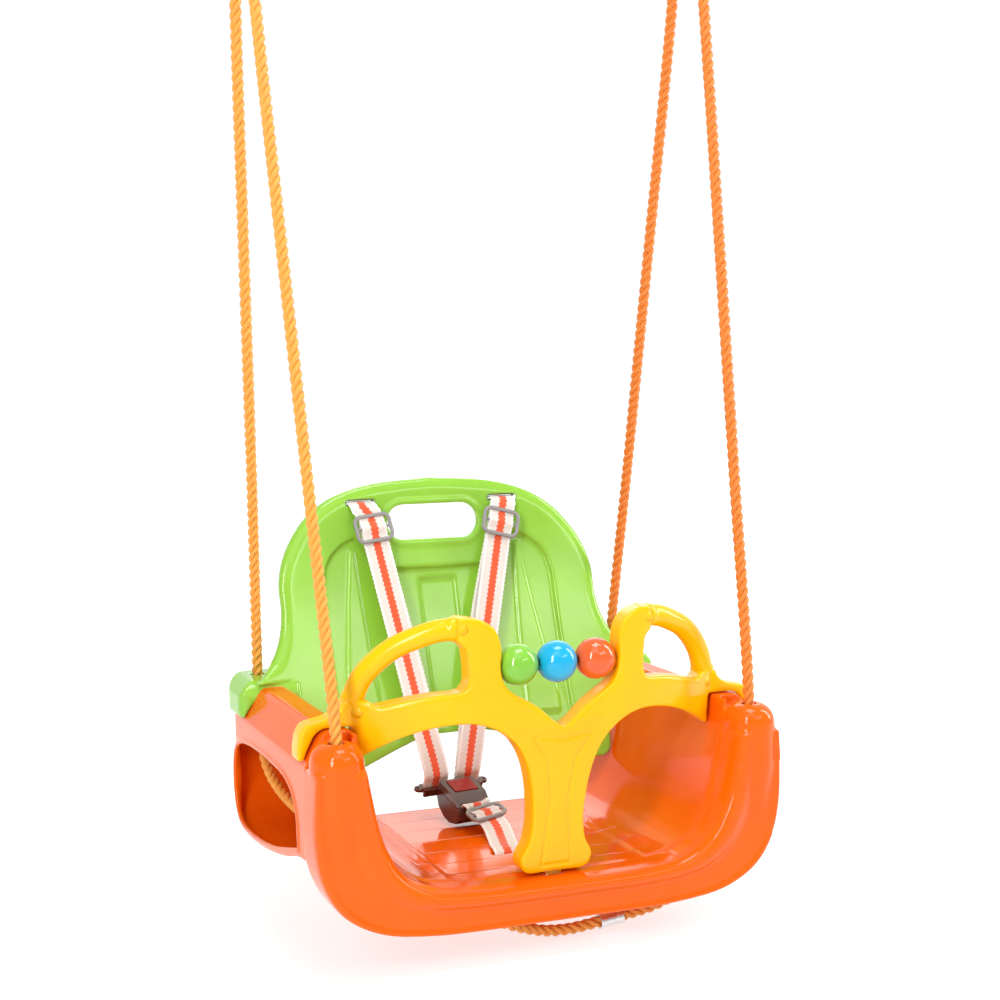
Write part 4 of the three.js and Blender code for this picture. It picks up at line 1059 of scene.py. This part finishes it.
def crotch():
    """The crotch strap: from the buckle's bar, down the slope and through the floor's front slot."""
    across = np.array((1, -0.25, 0)) / math.hypot(1, 0.25)
    bar = ((0, -14.5, -11), (0, -14.5, 1), (0, -15.4, 5.8), (0, -19, 7.6))
    slope = ((-8.4, -1.8, 59.6), CROTCH_AT, (-4.8, -21, 53.8), (-3.8, -34, 48.5), (-5.5, -47, 43.6))
    slot = ((-8.5, -60, 42.4), (-12, -73, 42.4), (-13, -80.8, 41.6), (-13, -84, 38), (-13, -84, 29))
    st = [(from_buckle(*p), BUCKLE_X) for p in bar]
    st += [(np.array(p, float), across) for p in slope] + [(np.array(p, float), EAST) for p in slot]
    at, wide, face = band(st)
    dress(ribbon("crotch_webbing", at, wide, face, wave=0.4), WEBBING, "swing", "webbing", "crotch_strap")


crotch()


def slider(name, node, body, centre, down, across, half_w, half_h, bar):
    """A moulded frame with a middle bar, and the fold of webbing that passes over the bar."""
    down = down / np.linalg.norm(down)
    across = across - down * (down @ across)
    across /= np.linalg.norm(across)
    face = np.cross(down, across)
    if face[1] > 0.5 or face[2] < -0.5:
        face = -face

    def place(u, v, w):
        return centre + across * u + down * v + face * w

    def squarish(t):
        return math.copysign(abs(t) ** 0.7, t)

    r = 6.0
    ring_line = []
    for cx, cy, a in ((half_w - r, half_h - r, 0), (r - half_w, half_h - r, math.pi / 2),
                      (r - half_w, r - half_h, math.pi), (half_w - r, r - half_h, 1.5 * math.pi)):
        ring_line += arc(cx, cy, r, a, a + math.pi / 2, 9)
    ring_line = spaced(np.array(ring_line + ring_line[:1]), 96)[:-1]
    d = np.roll(ring_line, -1, axis=0) - np.roll(ring_line, 1, axis=0)
    d = unit(d)
    loops = []
    for (u, v), (du, dv) in zip(ring_line, d):
        loops.append([place(u + dv * bar * squarish(math.cos(a)), v - du * bar * squarish(math.cos(a)),
                            3.1 + 0.85 * bar * squarish(math.sin(a)))
                      for a in full_turn(20)])
    frame_piece = loft(loops, f"{name}_slider_frame", closed=True)
    cross = [place(u, 0, 2.7) for u in np.linspace(-half_w + 0.5, half_w - 0.5, 24)]
    middle = loft([[c + 1.3 * (down * math.cos(a) + face * math.sin(a))
                    for a in full_turn(16)] for c in cross], "middle")
    join(frame_piece, middle)
    dress(name_it(frame_piece, f"{name}_slider_frame"), GREY, body, "adjuster_grey", node)
    v = np.linspace(-half_h + 0.6, half_h - 0.6, 44)
    lift = 2.0 + 2.9 * np.exp(-((v / (half_h * 0.42)) ** 2))
    at = np.array([place(0, s, h) for s, h in zip(v, lift)])
    t = np.gradient(at, axis=0)
    t = unit(t)
    wide = np.repeat(across[None, :], len(at), axis=0)
    fold = ribbon(f"{name}_slider_fold", at, wide, np.cross(t, wide), half=12.8)
    dress(fold, WEBBING, body, "webbing", node)


for name, side in SIDES:
    glide = np.array((side * 68.0, 129.5, 320.0))
    slider(f"{name}_shoulder", f"{name}_shoulder_adjuster", f"{name}_adjuster", glide,
           from_buckle(side * TONGUE_X, TONGUE_Y, 13) - glide, EAST, 18.0, 12.8, 1.9)
slider("crotch", "crotch_adjuster", "crotch_adjuster", np.array(CROTCH_AT),
       np.array((0.17667, -0.94222, -0.28463)), np.array((1, -0.25, 0)), 17.5, 9.5, 1.9)


def refine(node, material, width):
    """A CAD node kept as it is, with its sharp edges softened and a real material."""
    o = NODES[node]
    w = o.modifiers.new("weld", "WELD")
    w.merge_threshold = 1e-6
    b = o.modifiers.new("edges", "BEVEL")
    b.width, b.segments, b.limit_method, b.angle_limit = width / 1000, 3, "ANGLE", math.radians(35)
    smooth_faces(o)
    n = o.modifiers.new("normals", "WEIGHTED_NORMAL")
    n.keep_sharp = False
    o.data.materials.clear()
    o.data.materials.append(material)


for name, side in SIDES:
    refine(f"{name}_strap_anchor", GREY, 0.5)
    refine(f"{name}_tongue", BROWN, 0.5)
refine("crotch_strap_anchor", GREY, 0.5)
refine("buckle_base", BROWN, 0.9)
refine("buckle_cover", SMOKE, 0.6)
refine("buckle_button", RED_KEY, 0.8)
# three turns of the button's spring
coil = [from_buckle(2.7 * math.cos(a), 10.5 + 2.7 * math.sin(a), 0.3 + 11.2 * (t - 0.5))
        for t in np.linspace(0, 1, 120) for a in (6 * math.pi * t,)]
spring = dress(sweep(coil, [0.4] * len(coil), "button_coil", 10), STEEL, None, "steel_pin", "button_spring")
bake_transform(spring)

# ---- studio
def studio():
    corners = [(-6000, -6000, -31), (6000, -6000, -31), (6000, 9000, -31), (-6000, 9000, -31)]
    floor = make("studio_floor", corners, [(0, 1, 2, 3)])
    m = Nodes("paper_floor_painted_glow")
    depth = m.split(m.place)[1]
    # painted light: the floor glows, falling off a little towards the front and keeping its tone far behind,
    # standing in for the lamps' light on the paper
    near = m.ramp(depth, -0.75, -0.28, 0.50, 0.68)
    far_painted_glow = m.math("ADD", m.ramp(depth, 0.2, 1.6, 0.0, 0.28), m.ramp(depth, -3.0, -1.2, 0.2, 0.0))
    paper = m.mix(m.ramp(m.noise(3, 3), 0.3, 0.7), (0.38, 0.38, 0.38), (0.42, 0.42, 0.42))
    m.set(Base_Color=paper, Roughness=0.7, Emission_Color=(1, 1, 1, 1),
          Emission_Strength=m.math("ADD", near, far_painted_glow))
    floor.data.materials.append(m.mat)
    world = bpy.data.worlds.new("studio")
    bpy.context.scene.world = world
    world.use_nodes = True
    t = world.node_tree
    t.nodes.clear()
    out, back = t.nodes.new("ShaderNodeOutputWorld"), t.nodes.new("ShaderNodeBackground")
    # brighter behind the swing than in front of it
    coord, part, span = (t.nodes.new("ShaderNode" + k) for k in ("TexCoord", "VectorMath", "MapRange"))
    part.operation = "DOT_PRODUCT"
    part.inputs[1].default_value = (0.378, 0.926, 0.0)
    t.links.new(coord.outputs["Generated"], part.inputs[0])
    t.links.new(part.outputs["Value"], span.inputs["Value"])
    for key, v in (("From Min", 0.2), ("From Max", 0.85), ("To Min", 0.46), ("To Max", 1.02)):
        span.inputs[key].default_value = v
    back.inputs["Color"].default_value = (1, 1, 1, 1)
    t.links.new(span.outputs[0], back.inputs["Strength"])
    t.links.new(back.outputs[0], out.inputs["Surface"])
    target = Vector(row((0, 0, 120)))
    for name, at, size, watts in (
            ("softbox_left", (-1.5, -1.5, 0.15), (0.30, 1.5), 27),
            ("softbox_right", (1.6, -0.25, 0.1), (0.30, 1.5), 17),
            ("front_fill", (-0.5, -1.3, 1.0), (1.3, 1.0), 6),
            ("window", (0.6, -1.36, 0.18), (0.9, 0.24), 3.4),
            ("overhead", (0.1, -0.3, 1.5), (1.0, 0.8), 20),
            ("softbox_back", (0.8, 1.9, 0.4), (1.4, 1.2), 8)):
        light = bpy.data.lights.new(name, "AREA")
        light.shape, light.size, light.size_y, light.energy = "RECTANGLE", *size, watts
        o = bpy.data.objects.new(name, light)
        o.location = at
        o.rotation_mode = "QUATERNION"
        o.rotation_quaternion = (target - Vector(at)).to_track_quat("-Z", "Y")
        bpy.context.scene.collection.objects.link(o)
    bpy.context.scene.view_settings.view_transform = "Standard"


studio()
